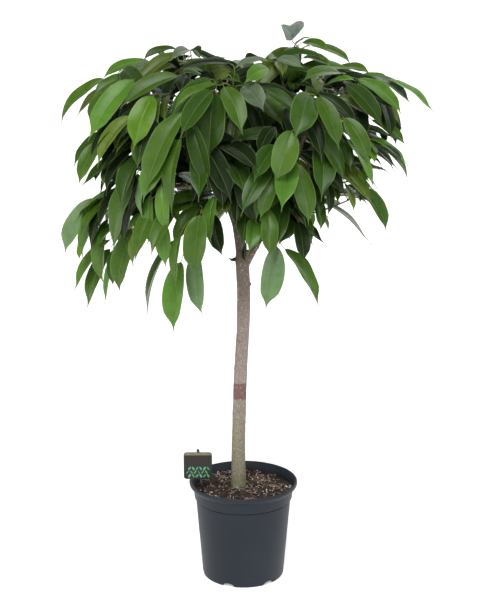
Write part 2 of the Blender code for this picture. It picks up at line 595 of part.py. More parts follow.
class Leaf:
    """A leaf's base, tip, width and the way its upper face looks."""

    def __init__(self, base, tip, width, face, stations=PLAIN_STATIONS):
        self.base, self.tip, self.width, self.face = base, tip, width, face
        self.stations, self.root = stations, None

    def moved(self, slide, swing, roll, shorten):
        """A copy slid bodily, with its tip swung, its blade rolled and its length cut."""
        base = self.base + slide
        tip = base + (self.tip - self.base) * shorten + swing
        face = Quaternion((tip - base).normalized(), roll) @ self.face
        return Leaf(base, tip, self.width * shorten, face, self.stations)

    def spine(self, share):
        """Point and direction at a share of the blade's length, on a bowed curve."""
        along = self.tip - self.base
        rise = UP + self.face * BOW_FORWARD
        rise -= rise.project(along)
        crest = (self.base + self.tip) / 2 + rise.normalized() * along.length * BOW
        rest = 1 - share
        point = self.base * rest ** 2 + crest * 2 * share * rest + self.tip * share ** 2
        return point, ((crest - self.base) * rest + (self.tip - crest) * share).normalized()

    def frame(self, along):
        """The way the upper face looks, and the way to the right edge, square to a direction."""
        face = (self.face - self.face.project(along)).normalized()
        return face, along.cross(face)

    def mesh(self, guard=0.0, with_petiole=True):
        """Points and faces of the closed leaf. Both sides of the blade are cut along like diagonals.

        The petiole has three sides, grooved edges left and right and a keel below. A section of
        the blade has four points: left edge, upper rib, right edge and lower rib.
        """
        along = self.spine(0.0)[1]
        if with_petiole:
            along = (along + (self.base - self.root).normalized()).normalized()
        face, side = self.frame(along)
        half = PETIOLE_HALF + guard
        points = [self.base - side * half + face * half * GROOVE,
                  self.base + side * half + face * half * GROOVE, self.base - face * half]
        faces, left = [(0, 1, 2)], 0
        if with_petiole:
            step = self.root - self.base
            points = [point + step for point in points] + points
            faces += [(k, (k + 1) % 3, 3 + (k + 1) % 3, 3 + k) for k in range(3)]
            left = 3
        right, keel, first = left + 1, left + 2, len(points)
        faces += [(left, first, first + 1), (left, first + 1, right), (right, first + 1, first + 2),
                  (left, first, first + 3), (left, first + 3, keel), (right, first + 2, first + 3),
                  (right, first + 3, keel)]
        for share, width in self.stations:
            point, along = self.spine(share)
            face, side = self.frame(along)
            half, thick = self.width * width / 2 + guard, face * (RIB_HALF + guard)
            lift, out = face * half * math.sin(FOLD), side * half * math.cos(FOLD)
            points += [point - out + lift, point + thick, point + out + lift, point - thick]
        for row in range(len(self.stations) - 1):
            a, b = first + 4 * row, first + 4 * row + 4
            for edge, rib in ((0, 1), (2, 1), (2, 3), (0, 3)):
                faces.append((a + edge, b + edge, b + rib))
                faces.append((a + edge, b + rib, a + rib))
        last = len(points) - 4
        tip, ahead = self.spine(1.0)
        points.append(tip + ahead * guard)
        faces += [(last + k, last + (k + 1) % 4, len(points) - 1) for k in range(4)]
        return points, faces


def front_leaf(row, flip):
    """A leaf as the eye sees it: its tip on the crown's front, its base as far in as its length asks."""
    base_x, base_y, tip_x, tip_y, width, layer = row
    tip = seen(tip_x, tip_y, shell_depth(tip_x, tip_y, layer))
    shown = (seen(base_x, base_y, tip.y) - tip).length
    length = max(shown * LENGTH_MORE, SHORT_LEAF if width > SMALL_WIDTH else SMALL_LEAF)
    inward = math.sqrt(max(length ** 2 - shown ** 2, 0.0))
    depth = min(shell_depth(base_x, base_y, layer), tip.y + inward + INWARD_MORE)
    base = seen(base_x, base_y, max(depth, tip.y + inward * INWARD_LEAST))
    along = (tip - base).normalized()
    true_width = max(SLENDERNESS * (tip - base).length, width * PIXEL * WIDTH_MORE)
    true_width = min(true_width, WIDEST_LEAF)
    toward = EYE - base
    toward = (toward - toward.project(along)).normalized()
    outward = Vector((flip, 0.0, 0.0))
    if abs(base.x) > MIDDLE_BAND:
        outward = Vector((base.x, base.y * SKY_FLAT, 0.0)).normalized()
    sky = UP * SKY_UP + outward * SKY_OUT
    sky = (sky - sky.project(along)).normalized()
    turn = math.acos(min(width * PIXEL / true_width, 1.0))
    if toward.cross(sky).dot(along) < 0:
        turn = -turn
    face = Quaternion(along, turn) @ toward
    return Leaf(base, tip, true_width, face, STATIONS if layer < SHAPED_LAYERS else PLAIN_STATIONS)


class Twig:
    """A twig's bent run from its seat on a limb to its bud."""

    def __init__(self, seat, out, end, ahead):
        reach = (end - seat).length * TWIG_EASE
        self.out = out
        self.curve = (seat, seat + out * reach, end - ahead * reach, end)
        self.run = [self.bend(k / (TWIG_RINGS - 1)) for k in range(TWIG_RINGS)]

    def bend(self, t):
        a, b, c, d = self.curve
        s = 1 - t
        return a * s ** 3 + b * 3 * s * s * t + c * 3 * s * t * t + d * t ** 3

    def at(self, t):
        """A point on the twig's own straight facets, so that a petiole's root is inside them."""
        place = t * (TWIG_RINGS - 1)
        ring = min(int(place), TWIG_RINGS - 2)
        return self.run[ring].lerp(self.run[ring + 1], place - ring)

    def mesh(self, guard=0.0):
        """Points and faces of the twig, its foot cut flat to stand on the limb."""
        run = self.run
        shares = [(k / (TWIG_RINGS - 1)) ** TWIG_TAPER for k in range(TWIG_RINGS)]
        radii = [TWIG_ROOT + guard + (TWIG_TIP - TWIG_ROOT) * share for share in shares]
        rings = rings_of(run, radii, TWIG_SIDES)
        rings[0] = [point - self.out * (point - run[0]).dot(self.out) for point in rings[0]]
        return tube(rings, run[-1] + (run[-1] - run[-2]).normalized() * BUD)

    def root_of(self, leaf, slant):
        """Where a leaf's petiole leaves the twig: near its blade, and at no sharp bend to it."""
        heading = leaf.spine(0.0)[1]

        def reach(t):
            gap = leaf.base - self.at(t)
            sharp = heading.dot(gap.normalized()) < SHARPEST_BEND
            return gap.length + (BEND_PENALTY if sharp else 0.0)

        share = min((ROOT_FROM + ROOT_SPAN * k / ROOT_STEPS for k in range(ROOT_STEPS + 1)), key=reach)
        return self.at(max(share - slant, ROOT_LOWEST))


def box_of(points):
    return (tuple(min(point[k] for point in points) for k in range(3)),
            tuple(max(point[k] for point in points) for k in range(3)))


def apart(one, other):
    return any(one[0][k] > other[1][k] or one[1][k] < other[0][k] for k in range(3))


class Crowd:
    """Everything already placed, by the name of its solid."""

    def __init__(self):
        self.placed = []

    def add(self, owner, points, faces):
        self.placed.append((owner, box_of(points), BVHTree.FromPolygons(points, faces)))

    def free(self, points, faces, skip=None):
        """Whether a shape stands clear of all but one solid."""
        box, tree = box_of(points), None
        for owner, other_box, other in self.placed:
            if owner == skip or apart(box, other_box):
                continue
            tree = tree or BVHTree.FromPolygons(points, faces)
            if tree.overlap(other):
                return False
        return True


def place_leaf(crowd, owner, own, twig, leaf, draw, tries=TRIES, by_rule=False):
    """The leaf, moved as little as is needed to stand clear of every other solid, or None."""
    kept = None
    slant = draw.uniform(*ROOT_SLANT)
    offset = Vector((draw.uniform(-1, 1), draw.uniform(-1, 1), draw.uniform(-1, 1))) * ROOT_OFFSET
    for attempt in range(tries):
        ease = attempt / tries
        sight = (leaf.base - EYE).normalized()
        steps = (attempt + 1) // 2 * (1 if attempt % 2 else -1)
        slide = sight * (SLIDE_STEP * steps if attempt < SLIDE_TRIES else draw.uniform(*SLIDE_FREE))
        loose = 0.0 if attempt < SWING_AFTER else SWING * ease
        swing = Vector((draw.uniform(-loose, loose), draw.uniform(-loose, loose), draw.uniform(-loose, loose)))
        roll = 0.0 if attempt < ROLL_AFTER else draw.uniform(-ROLL, ROLL) * (ROLL_START + ease)
        tried = leaf.moved(slide, swing, roll, 1.0 if ease < CUT_AFTER else CUT_LENGTH)
        if by_rule and not all(within_outline(tried.spine(share)[0]) for share in OUTLINE_SHARES):
            continue
        tried.root = twig.root_of(tried, slant) + offset
        if crowd.free(*tried.mesh(GUARD), skip=owner):
            kept = kept or tried
            if own.free(*tried.mesh(OWN_GUARD, False)):
                kept = tried
                break
    if kept is None:
        return None
    crowd.add(owner, *kept.mesh())
    own.add(owner, *kept.mesh(0.0, False))
    return kept


def choose_seat(crowd, seats, used, target, end, ahead):
    """The twig on the free seat from which it runs straightest and shortest to its leaves."""
    def cost(seat):
        middle, out = seat
        gap = target - middle
        short = SHORT_TWIG if gap.length < SHORT_TWIG else 0.0
        return gap.length * (BEND_COST - out.dot(gap.normalized())) + short

    for middle, out in sorted(seats, key=cost):
        if any((middle - other).length < SEAT_SPACING for other in used):
            continue
        for lift in range(SEAT_LIFTS):
            twig = Twig(middle + out * (GAP + SEAT_LIFT * lift), out, end, ahead)
            if crowd.free(*twig.mesh()):
                break
        else:
            continue
        if crowd.free(*twig.mesh(GUARD), skip="trunk"):
            used.append(middle)
            return twig
    raise ValueError("no free seat for a twig")


def front_plan(rows):
    """The leaves of a front shoot, their middle, and where its twig ends and points."""
    leaves = [front_leaf(row, -1.0 if k % 2 else 1.0) for k, row in enumerate(rows)]
    middle = sum((leaf.base for leaf in leaves), Vector()) / len(leaves)
    heart = Vector((middle.x * HEART_IN, middle.y * HEART_IN, middle.z - HEART_BELOW))
    far = max(leaves, key=lambda leaf: (leaf.base - heart).length).base
    end = Vector((far.x, middle.y, far.z)) * END_SHARE + middle * (1 - END_SHARE)
    ahead = (middle - heart).normalized()
    if (end - middle).length > END_LEAST:
        ahead = ((end - middle).normalized() + ahead * END_OUTWARD).normalized()
    return leaves, middle, end, ahead


def back_plan(index):
    """Where a shoot on the back or side of the crown starts its leaves, ends and points."""
    share = (index + 0.5) / BACK_SHOOTS
    angle = BACK_FROM + (BACK_TO - BACK_FROM) * ((index * BACK_TURN + BACK_FIRST) % 1.0)
    height = BACK_LOW + (BACK_HIGH - BACK_LOW) * share
    out = Vector((math.cos(angle), math.sin(angle), 0.0))
    end = out * crown_radius(height) * BACK_REACH + UP * height
    ahead = (out * BACK_OUT + UP * BACK_UP).normalized()
    return [], end - ahead * BACK_TWIG, end, ahead


def turned_leaf(twig, share, turn, draw):
    """A leaf on a twig by rule, turned round it, leaning outward and hanging."""
    point = twig.at(share)
    ahead = (twig.run[-1] - point).normalized()
    spoke = Quaternion(ahead, turn) @ ahead.orthogonal().normalized()
    out = Vector((point.x, point.y, 0.0)).normalized()
    base = point + spoke * BASE_OUT + ahead * BASE_AHEAD
    length = draw.uniform(*RULE_LENGTHS)
    heading = spoke * PULL_SPOKE + ahead * PULL_AHEAD + out * draw.uniform(*PULL_OUT)
    heading = (heading - UP * draw.uniform(*PULL_DOWN)).normalized()
    face = UP * FACE_UP + out * FACE_OUT + spoke * FACE_SPOKE
    face = (face - face.project(heading)).normalized()
    width = length * SLENDERNESS * draw.uniform(*RULE_WIDTHS)
    return Leaf(base, base + heading * length, width, face)


def plan_shoots():
    """By shoot: its plan, and the layers of its front leaves."""
    plans = {}
    for rows in FRONT_SHOOTS:
        plans[f"leafy_shoot_{len(plans) + 1:02d}"] = (front_plan(rows), [row[-1] for row in rows])
    for index in range(BACK_SHOOTS):
        plans[f"leafy_shoot_{len(plans) + 1:02d}"] = (back_plan(index), [])
    return plans


def rule_leaf(crowd, name, own, twig, k, wanted, part):
    """The k-th leaf by rule on a shoot, drawn again until one stands clear, or None."""
    share = part[1] - (part[1] - part[0]) * (k + PART_START) / wanted
    draw = random.Random(f"{SEED} {name} rule {k}")
    for redraw in range(REDRAWS):
        turn = TURN * k + draw.uniform(-TURN_WANDER, TURN_WANDER) * (1 + redraw)
        leaf = turned_leaf(twig, share, turn, draw)
        kept = place_leaf(crowd, name, own, twig, leaf, draw, RULE_TRIES, True)
        if kept:
            return kept
    return None


def grow_shoots(tubes, seats):
    """Every twig first, then the leaves that show, front layer by layer, then those by rule."""
    crowd, plans, used, twigs, own = Crowd(), plan_shoots(), [], {}, {}
    for points, faces in tubes:
        crowd.add("trunk", points, faces)
    for name, ((_, middle, end, ahead), _) in plans.items():
        twigs[name] = choose_seat(crowd, seats, used, middle, end, ahead)
        crowd.add(name, *twigs[name].mesh())
        own[name] = Crowd()
        own[name].add(name, *twigs[name].mesh())
    placed = {name: [] for name in plans}
    queue = sorted((layer, name, k) for name, (_, layers) in plans.items() for k, layer in enumerate(layers))
    for layer, name, k in queue:
        leaf, draw = plans[name][0][0][k], random.Random(f"{SEED} {name} {k}")
        placed[name].append(place_leaf(crowd, name, own[name], twigs[name], leaf, draw))
    for k in range(BACK_LEAVES):
        for name, (_, layers) in plans.items():
            wanted, part = (INNER_LEAVES, INNER_PART) if layers else (BACK_LEAVES, BACK_PART)
            if k < wanted:
                placed[name].append(rule_leaf(crowd, name, own[name], twigs[name], k, wanted, part))
    return twigs, {name: [leaf for leaf in leaves if leaf] for name, leaves in placed.items()}


def make_shoots(tubes, seats):
    """Each shoot's twig and leaves, joined, with its origin where it stands on the limb."""
    twigs, leaves = grow_shoots(tubes, seats)
    print("leaves", sum(map(len, leaves.values())), "of", sum(map(len, FRONT_SHOOTS)) +
          INNER_LEAVES * len(FRONT_SHOOTS) + BACK_LEAVES * BACK_SHOOTS)
    shoots = []
    for name, twig in twigs.items():
        foot = twig.run[0]
        parts = []
        for points, faces in [twig.mesh()] + [leaf.mesh() for leaf in leaves[name]]:
            parts.append(piece_of(name, shell_of([point - foot for point in points], faces), "leaf"))
        parts[0].name = name
        boolean(parts[0], "UNION", parts[1:])
        smooth(parts[0], SMOOTH_GROWN)
        parts[0].location = foot
        shoots.append(parts[0])
    return shoots


def main():
    for piece in list(bpy.data.objects):
        bpy.data.objects.remove(piece)
    plant = bpy.data.objects.new("potted_fig", None)
    bpy.context.scene.collection.objects.link(plant)
    trunk, tubes, seats = make_trunk()
    pieces = [make_pot(), make_soil(), trunk, make_stake("label_stake"), make_card()]
    for piece in pieces + make_shoots(tubes, seats):
        piece.parent = plant


main()
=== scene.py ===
# %% [markdown]
# A potted banana leaf fig
#
# The object is a standard tree: a fig grown on one clear stem, with a domed crown of long
# leaves that hang and end in drip tips. It stands in a dark moulded nursery pot of bark
# mix, with a plant label at the rim. The solids come from the frame. This lesson gives
# them their finer forms and their finishes, one piece at a time, and lights them as for a
# plain product photograph.

import math
import random

import bmesh
import bpy
import numpy as np
from mathutils import Matrix, Quaternion, Vector, noise
from mathutils.bvhtree import BVHTree


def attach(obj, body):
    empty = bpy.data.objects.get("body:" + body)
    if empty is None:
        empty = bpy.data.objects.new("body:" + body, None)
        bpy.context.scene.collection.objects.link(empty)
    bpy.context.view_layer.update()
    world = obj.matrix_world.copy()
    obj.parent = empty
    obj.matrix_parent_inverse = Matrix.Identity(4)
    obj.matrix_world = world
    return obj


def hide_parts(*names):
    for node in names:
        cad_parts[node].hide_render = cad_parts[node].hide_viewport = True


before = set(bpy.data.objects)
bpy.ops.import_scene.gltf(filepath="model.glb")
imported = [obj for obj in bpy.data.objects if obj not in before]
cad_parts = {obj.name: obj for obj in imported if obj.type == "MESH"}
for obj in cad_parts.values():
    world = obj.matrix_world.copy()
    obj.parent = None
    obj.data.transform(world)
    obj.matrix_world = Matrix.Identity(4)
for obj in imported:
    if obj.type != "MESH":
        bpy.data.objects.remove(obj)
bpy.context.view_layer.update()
UP = Vector((0.0, 0.0, 1.0))
print("solids in the frame:", len(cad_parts))

# %% [markdown]
# Colours and nodes
#
# Colours are picked as sRGB hex values, the way a colour card gives them. Shaders count in
# linear light, so one function turns them over. Another adds a shader node with its
# settings and links, so that each material reads as a short list of what it holds. A node
# that is named as an input stands for its first output. In a Math node the inputs go by
# number. In a Mix node 0 is the share, and 6 and 7 are the two colours.

# %% Helpers for colours and nodes
MILLIMETRE = 0.001


def linear(code, alpha=True):
    """The linear colour of an sRGB hex code such as "#373D45"."""
    parts = [int(code[k:k + 2], 16) / 255 for k in (1, 3, 5)]
    parts = [p / 12.92 if p <= 0.04045 else ((p + 0.055) / 1.055) ** 2.4 for p in parts]
    return (*parts, 1.0) if alpha else tuple(parts)


def set_inputs(node, inputs):
    """Gives a node its inputs, each one a value, an output or a node."""
    for socket, value in dict(inputs).items():
        if isinstance(value, bpy.types.Node):
            value = next(output for output in value.outputs if output.enabled)
        if isinstance(value, bpy.types.NodeSocket):
            node.id_data.links.new(value, node.inputs[socket])
        else:
            node.inputs[socket].default_value = value


def add(tree, kind, inputs=(), stops=(), **settings):
    """Adds a node with its settings and inputs, and the stops of a colour ramp."""
    node = tree.nodes.new(kind)
    for key, value in settings.items():
        setattr(node, key, value)
    set_inputs(node, inputs)
    for k, (position, code) in enumerate(stops):
        stop = node.color_ramp.elements[k] if k < 2 else node.color_ramp.elements.new(position)
        stop.position = position
        stop.color = linear(code)
    return node


def new_material(name):
    """An empty material: its node tree, its Principled shader, and itself."""
    material = bpy.data.materials.new(name)
    material.use_nodes = True
    tree = material.node_tree
    tree.nodes.clear()
    shader = add(tree, "ShaderNodeBsdfPrincipled")
    add(tree, "ShaderNodeOutputMaterial", {"Surface": shader})
    return tree, shader, material


# %% [markdown]
# Pieces
#
# Every piece is a mesh that rides on the body "root" and takes its finishes, and a piece that
# stands for a solid of the frame hides that solid.

# %% Helpers for pieces
def plain_object(name, data):
    """An object in the scene that holds a mesh, a camera or a light."""
    thing = bpy.data.objects.new(name, data)
    bpy.context.scene.collection.objects.link(thing)
    return thing


def new_piece(name, mesh, materials, stands_for=None):
    """A named object that rides on the root and takes the place of a solid."""
    piece = plain_object(name, mesh)
    mesh.materials.clear()
    for material in materials:
        mesh.materials.append(material)
    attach(piece, "root")
    if stands_for:
        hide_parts(stands_for)
    return piece


def evaluated_mesh(piece):
    """The mesh of an object with its modifiers applied. The object itself is removed."""
    graph = bpy.context.evaluated_depsgraph_get()
    mesh = bpy.data.meshes.new_from_object(piece.evaluated_get(graph))
    bpy.data.objects.remove(piece)
    return mesh


def mesh_of(name, points, faces):
    """A mesh from its points and faces."""
    mesh = bpy.data.meshes.new(name)
    mesh.from_pydata([tuple(point) for point in points], [], faces)
    return mesh


def mesh_from(shell, name):
    """A stored mesh from an edited one, which ends here."""
    mesh = bpy.data.meshes.new(name)
    shell.to_mesh(mesh)
    shell.free()
    return mesh


def shade_smooth(mesh, crease):
    """Shades a mesh smooth, except where two faces meet at more than an angle in degrees."""
    mesh.shade_smooth()
    mesh.set_sharp_from_angle(angle=math.radians(crease))


def coloured(mesh, colours):
    """Stores one linear colour a point, under the name that the materials read."""
    layer = mesh.attributes.new("tone", "FLOAT_COLOR", "POINT")
    layer.data.foreach_set("color", np.array(colours, np.float32).ravel())


def joined(shapes):
    """Points and faces of several shapes as one list each."""
    points, faces = [], []
    for some_points, some_faces in shapes:
        first = len(points)
        points += some_points
        faces += [tuple(first + corner for corner in face) for face in some_faces]
    return points, faces


def rounded(profile, radius, steps):
    """A (radius, height) profile with each inner corner turned into a short curve."""
    curve = [Vector(profile[0])]
    for before, corner, after in zip(profile, profile[1:], profile[2:]):
        before, corner, after = Vector(before), Vector(corner), Vector(after)
        reach = min(radius, (before - corner).length * 0.45, (after - corner).length * 0.45)
        start = corner + (before - corner).normalized() * reach
        end = corner + (after - corner).normalized() * reach
        for k in range(steps + 1):
            t = k / steps
            curve.append(start * (1 - t) ** 2 + corner * 2 * t * (1 - t) + end * t * t)
    return curve + [Vector(profile[-1])]


def spun(name, profile, steps):
    """A mesh turned about the Z axis from a (radius, height) profile."""
    shell = bmesh.new()
    run = [shell.verts.new((point[0], 0.0, point[1])) for point in profile]
    for low, high in zip(run, run[1:]):
        shell.edges.new((low, high))
    bmesh.ops.spin(
        shell, geom=shell.verts[:] + shell.edges[:], axis=UP, cent=(0.0, 0.0, 0.0),
        angle=math.tau, steps=steps, use_merge=True,
    )
    bmesh.ops.remove_doubles(shell, verts=shell.verts, dist=0.01 * MILLIMETRE)
    bmesh.ops.recalc_face_normals(shell, faces=shell.faces)
    mesh = mesh_from(shell, name)
    mesh.shade_smooth()
    return mesh


# %% [markdown]
# Camera, floor and light
#
# A packshot of a tall plant is taken from about three metres with a short telephoto lens, a
# little above the crown and tipped down, so that the pot's rim shows as an oval. The light
# is a wide lit cloth above and in front, a weaker one behind and two soft boxes, and a pale
# floor throws some of it back up under the leaves.

# %% Camera
EYE = Vector((-0.0073, -3.0, 1.393))
EYE_PITCH = math.radians(14.25)
LENS, SENSOR = 86.3, 36.0
IMAGE_WIDTH, IMAGE_HEIGHT = 480, 600

camera_data = bpy.data.cameras.new("packshot_camera")
camera_data.lens = LENS
camera_data.sensor_fit = "VERTICAL"
camera_data.sensor_height = SENSOR
camera = plain_object("packshot_camera", camera_data)
camera.location = EYE
camera.rotation_euler = (math.pi / 2 - EYE_PITCH, 0.0, 0.0)
bpy.context.scene.camera = camera
print("camera", round(-EYE.y, 2), "m in front, lens", LENS, "mm")

# %% Floor and lights
FLOOR_SIZE = 60.0
FLOOR_GLOW = 0.36
CROWN_MIDDLE = Vector((0.0, 0.0, 0.85))
_, floor_shader, floor_paint = new_material("matt_white_floor")
set_inputs(floor_shader, {"Base Color": linear("#F7F7F7"), "Roughness": 0.9,
                          "Emission Color": linear("#FFFFFF"), "Emission Strength": FLOOR_GLOW})
half = FLOOR_SIZE / 2
floor_corners = [(-half, -half, 0.0), (half, -half, 0.0), (half, half, 0.0), (-half, half, 0.0)]
floor = plain_object("floor", mesh_of("floor", floor_corners, [(0, 1, 2, 3)]))
floor.data.materials.append(floor_paint)


def add_light(kind, name, place, **settings):
    """A light that looks at the middle of the crown."""
    light = bpy.data.lights.new(name, kind)
    for key, value in settings.items():
        setattr(light, key, value)
    lamp = plain_object(name, light)
    lamp.location = place
    lamp.rotation_euler = (CROWN_MIDDLE - Vector(place)).to_track_quat("-Z", "Y").to_euler()


# a lit cloth above and in front, so wide that it lights the whole floor evenly
add_light("SUN", "overhead_cloth", (-0.3, -1.8, 3.1), energy=2.9, angle=math.radians(38))
# a weak cloth behind the plant, so that its far side isn't left dark
add_light("SUN", "cloth_behind", (1.4, 2.4, 2.8), energy=1.1, angle=math.radians(60))
# two soft boxes level with the crown, a little cooler than the cloths
for side, watts in ((-1, 16.0), (1, 18.0)):
    add_light("AREA", "soft_box", (2.4 * side, -1.6, 1.3), shape="SQUARE", size=1.4,
              energy=watts, color=linear("#F4F8FF", alpha=False))

# white walls all round, and a ceiling that is left in shade
WALL_LIGHT, CEILING_LIGHT = 0.70, 0.18
studio = bpy.data.worlds.new("white_studio")
bpy.context.scene.world = studio
studio.use_nodes = True
room = studio.node_tree
place = add(room, "ShaderNodeTexCoord")
parts = add(room, "ShaderNodeSeparateXYZ", {"Vector": place.outputs["Generated"]})
shade = add(room, "ShaderNodeMapRange",
            {"Value": parts.outputs["Z"], "From Min": 0.05, "From Max": 0.65,
             "To Min": WALL_LIGHT, "To Max": CEILING_LIGHT})
set_inputs(room.nodes["Background"], {"Color": linear("#FFFFFF"), "Strength": shade})
bpy.context.scene.view_settings.view_transform = "Standard"

# %% [markdown]
# The nursery pot
#
# Pots of this kind are injection moulded from recycled polypropylene, dyed anthracite. The
# plastic is satin rather than glossy, with a faint grain from the steel mould and a few
# pale scuffs from the conveyor. Polypropylene has an IOR of 1.49. The pot is round, so it
# is turned from its profile, and the arches in its foot ring are cut out afterwards.

# %% Moulded polypropylene
def moulded_polypropylene():
    """Satin dyed plastic, with a faint grain from the mould and pale scuffs."""
    tree, shader, material = new_material("moulded_polypropylene")
    place = add(tree, "ShaderNodeTexCoord").outputs["Object"]
    cloud = add(tree, "ShaderNodeTexNoise", {"Vector": place, "Scale": 9.0, "Detail": 5.0})
    tint = add(tree, "ShaderNodeValToRGB", {"Fac": cloud}, ((0.30, "#171D24"), (0.72, "#1E252D")))
    specks = add(tree, "ShaderNodeTexVoronoi", {"Vector": place, "Scale": 55.0})
    scuff = add(tree, "ShaderNodeValToRGB", {"Fac": specks}, ((0.028, "#FFFFFF"), (0.05, "#000000")))
    chosen = add(tree, "ShaderNodeTexNoise", {"Vector": place, "Scale": 17.0})
    few = add(tree, "ShaderNodeMath", {0: chosen, 1: 0.60}, operation="GREATER_THAN")
    worn = add(tree, "ShaderNodeMath", {0: scuff, 1: few}, operation="MULTIPLY")
    colour = add(tree, "ShaderNodeMix", {0: worn, 6: tint, 7: linear("#7C766C")}, data_type="RGBA")
    # mould grain of about 0.7 mm, drawn as 1.5 mm so that it shows
    grain = add(tree, "ShaderNodeTexNoise", {"Vector": place, "Scale": 650.0, "Detail": 2.0})
    gloss = add(tree, "ShaderNodeMapRange", {"Value": cloud, "To Min": 0.44, "To Max": 0.56})
    bump = add(tree, "ShaderNodeBump",
               {"Height": grain, "Strength": 0.10, "Distance": 0.3 * MILLIMETRE})
    set_inputs(shader, {"Base Color": colour, "Roughness": gloss, "IOR": 1.49,
                        "Specular IOR Level": 0.24, "Normal": bump})
    return material


pot_plastic = moulded_polypropylene()
print("made", pot_plastic.name)

# %% The pot's profile and its turned wall
FLOOR_UNDER, FLOOR_TOP = 0.0095, 0.0115
POT_OUTSIDE = (
    (0.0, 0.0), (0.0200, 0.0), (0.0240, FLOOR_UNDER), (0.0800, FLOOR_UNDER), (0.0830, 0.0),
    (0.0885, 0.0), (0.0906, 0.0040), (0.1051, 0.1778), (0.1040, 0.1790), (0.1040, 0.1800),
    (0.1082, 0.1812), (0.1104, 0.2030),
    (0.1150, 0.2062), (0.1192, 0.2110), (0.1200, 0.2165), (0.1185, 0.2200),
)
POT_INSIDE = (
    (0.1152, 0.2192), (0.1112, 0.2110), (0.1084, 0.2030), (0.1062, 0.1830),
    (0.1030, 0.1790), (0.0884, FLOOR_TOP), (0.0, FLOOR_TOP),
)
POT_STEPS = 144
CORNER = 2.2 * MILLIMETRE
pot_mesh = spun("pot_wall", rounded(POT_OUTSIDE + POT_INSIDE, CORNER, 4), POT_STEPS)

# %% Arches in the foot ring and drain holes
NOTCHES, NOTCH_SIDES = 6, 24
NOTCH_TURN = math.radians(-51.5)
NOTCH_WIDTH, NOTCH_HEIGHT = 0.028, 0.0085
NOTCH_INNER, NOTCH_OUTER = 0.076, 0.100
DRAINS, DRAIN_SIDES, DRAIN_RADIUS, DRAIN_CIRCLE, CUT_PAST = 4, 24, 0.0055, 0.058, 0.004


def drum(name, sides, radius, depth, matrix):
    """A plain cutter: a cylinder set in place by a matrix."""
    shell = bmesh.new()
    bmesh.ops.create_cone(
        shell, cap_ends=True, segments=sides, radius1=radius, radius2=radius, depth=depth,
        matrix=matrix)
    bmesh.ops.recalc_face_normals(shell, faces=shell.faces)
    return plain_object(name, mesh_from(shell, name))


def cut(piece, cutters):
    """Cuts a collection of solids out of a piece and returns the mesh that is left."""
    group = bpy.data.collections.new("cutters")
    bpy.context.scene.collection.children.link(group)
    for cutter in cutters:
        bpy.context.scene.collection.objects.unlink(cutter)
        group.objects.link(cutter)
    modifier = piece.modifiers.new("Cut", "BOOLEAN")
    modifier.operation = "DIFFERENCE"
    modifier.operand_type = "COLLECTION"
    modifier.collection = group
    mesh = evaluated_mesh(piece)
    for cutter in cutters:
        bpy.data.objects.remove(cutter)
    bpy.data.collections.remove(group)
    return mesh


def notch(turn):
    """The cutter for one arch, a flat oval drum that lies along the radius."""
    middle = Vector(((NOTCH_INNER + NOTCH_OUTER) / 2, 0.0, 0.0))
    oval = Matrix.Diagonal((NOTCH_HEIGHT, NOTCH_WIDTH / 2, 1.0, 1.0))
    matrix = Matrix.Rotation(turn, 4, "Z") @ Matrix.Translation(middle)
    matrix = matrix @ Matrix.Rotation(math.pi / 2, 4, "Y") @ oval
    return drum("notch", NOTCH_SIDES, 1.0, NOTCH_OUTER - NOTCH_INNER, matrix)


def drain(turn):
    """The cutter for one drain hole."""
    level = (FLOOR_UNDER + FLOOR_TOP) / 2
    middle = Vector((DRAIN_CIRCLE * math.cos(turn), DRAIN_CIRCLE * math.sin(turn), level))
    depth = FLOOR_TOP - FLOOR_UNDER + 2 * CUT_PAST
    return drum("drain", DRAIN_SIDES, DRAIN_RADIUS, depth, Matrix.Translation(middle))


cutters = [notch(NOTCH_TURN + math.tau * k / NOTCHES) for k in range(NOTCHES)]
cutters += [drain(math.tau * (k + 0.5) / DRAINS) for k in range(DRAINS)]
pot_mesh = cut(plain_object("pot_wall", pot_mesh), cutters)
shade_smooth(pot_mesh, 40)
new_piece("turned_pot", pot_mesh, [pot_plastic], "nursery_pot")
print("pot", len(pot_mesh.polygons), "faces")

# %% [markdown]
# Bark
#
# A fig's bark is thin and smooth, with pale corky dots called lenticels, one or two
# millimetres across. It is olive grey near the soil, where algae grow on it, and pinkish
# taupe higher up. Near the fork it is painted dark brown, as painted shade from the crown
# above. A red-brown stain rings the stem at a third of its height. Bark is matt, with an
# IOR near 1.5.

# %% Smooth fig bark
BAND_LOW, BAND_HIGH, BAND_SOFT = 0.410, 0.4455, 0.001
SOIL_LEVEL = 0.2010
# the height at which the bark reaches its darkest brown: painted shade from the crown above
DARKEST_FORK_SHADE_AT = 0.80


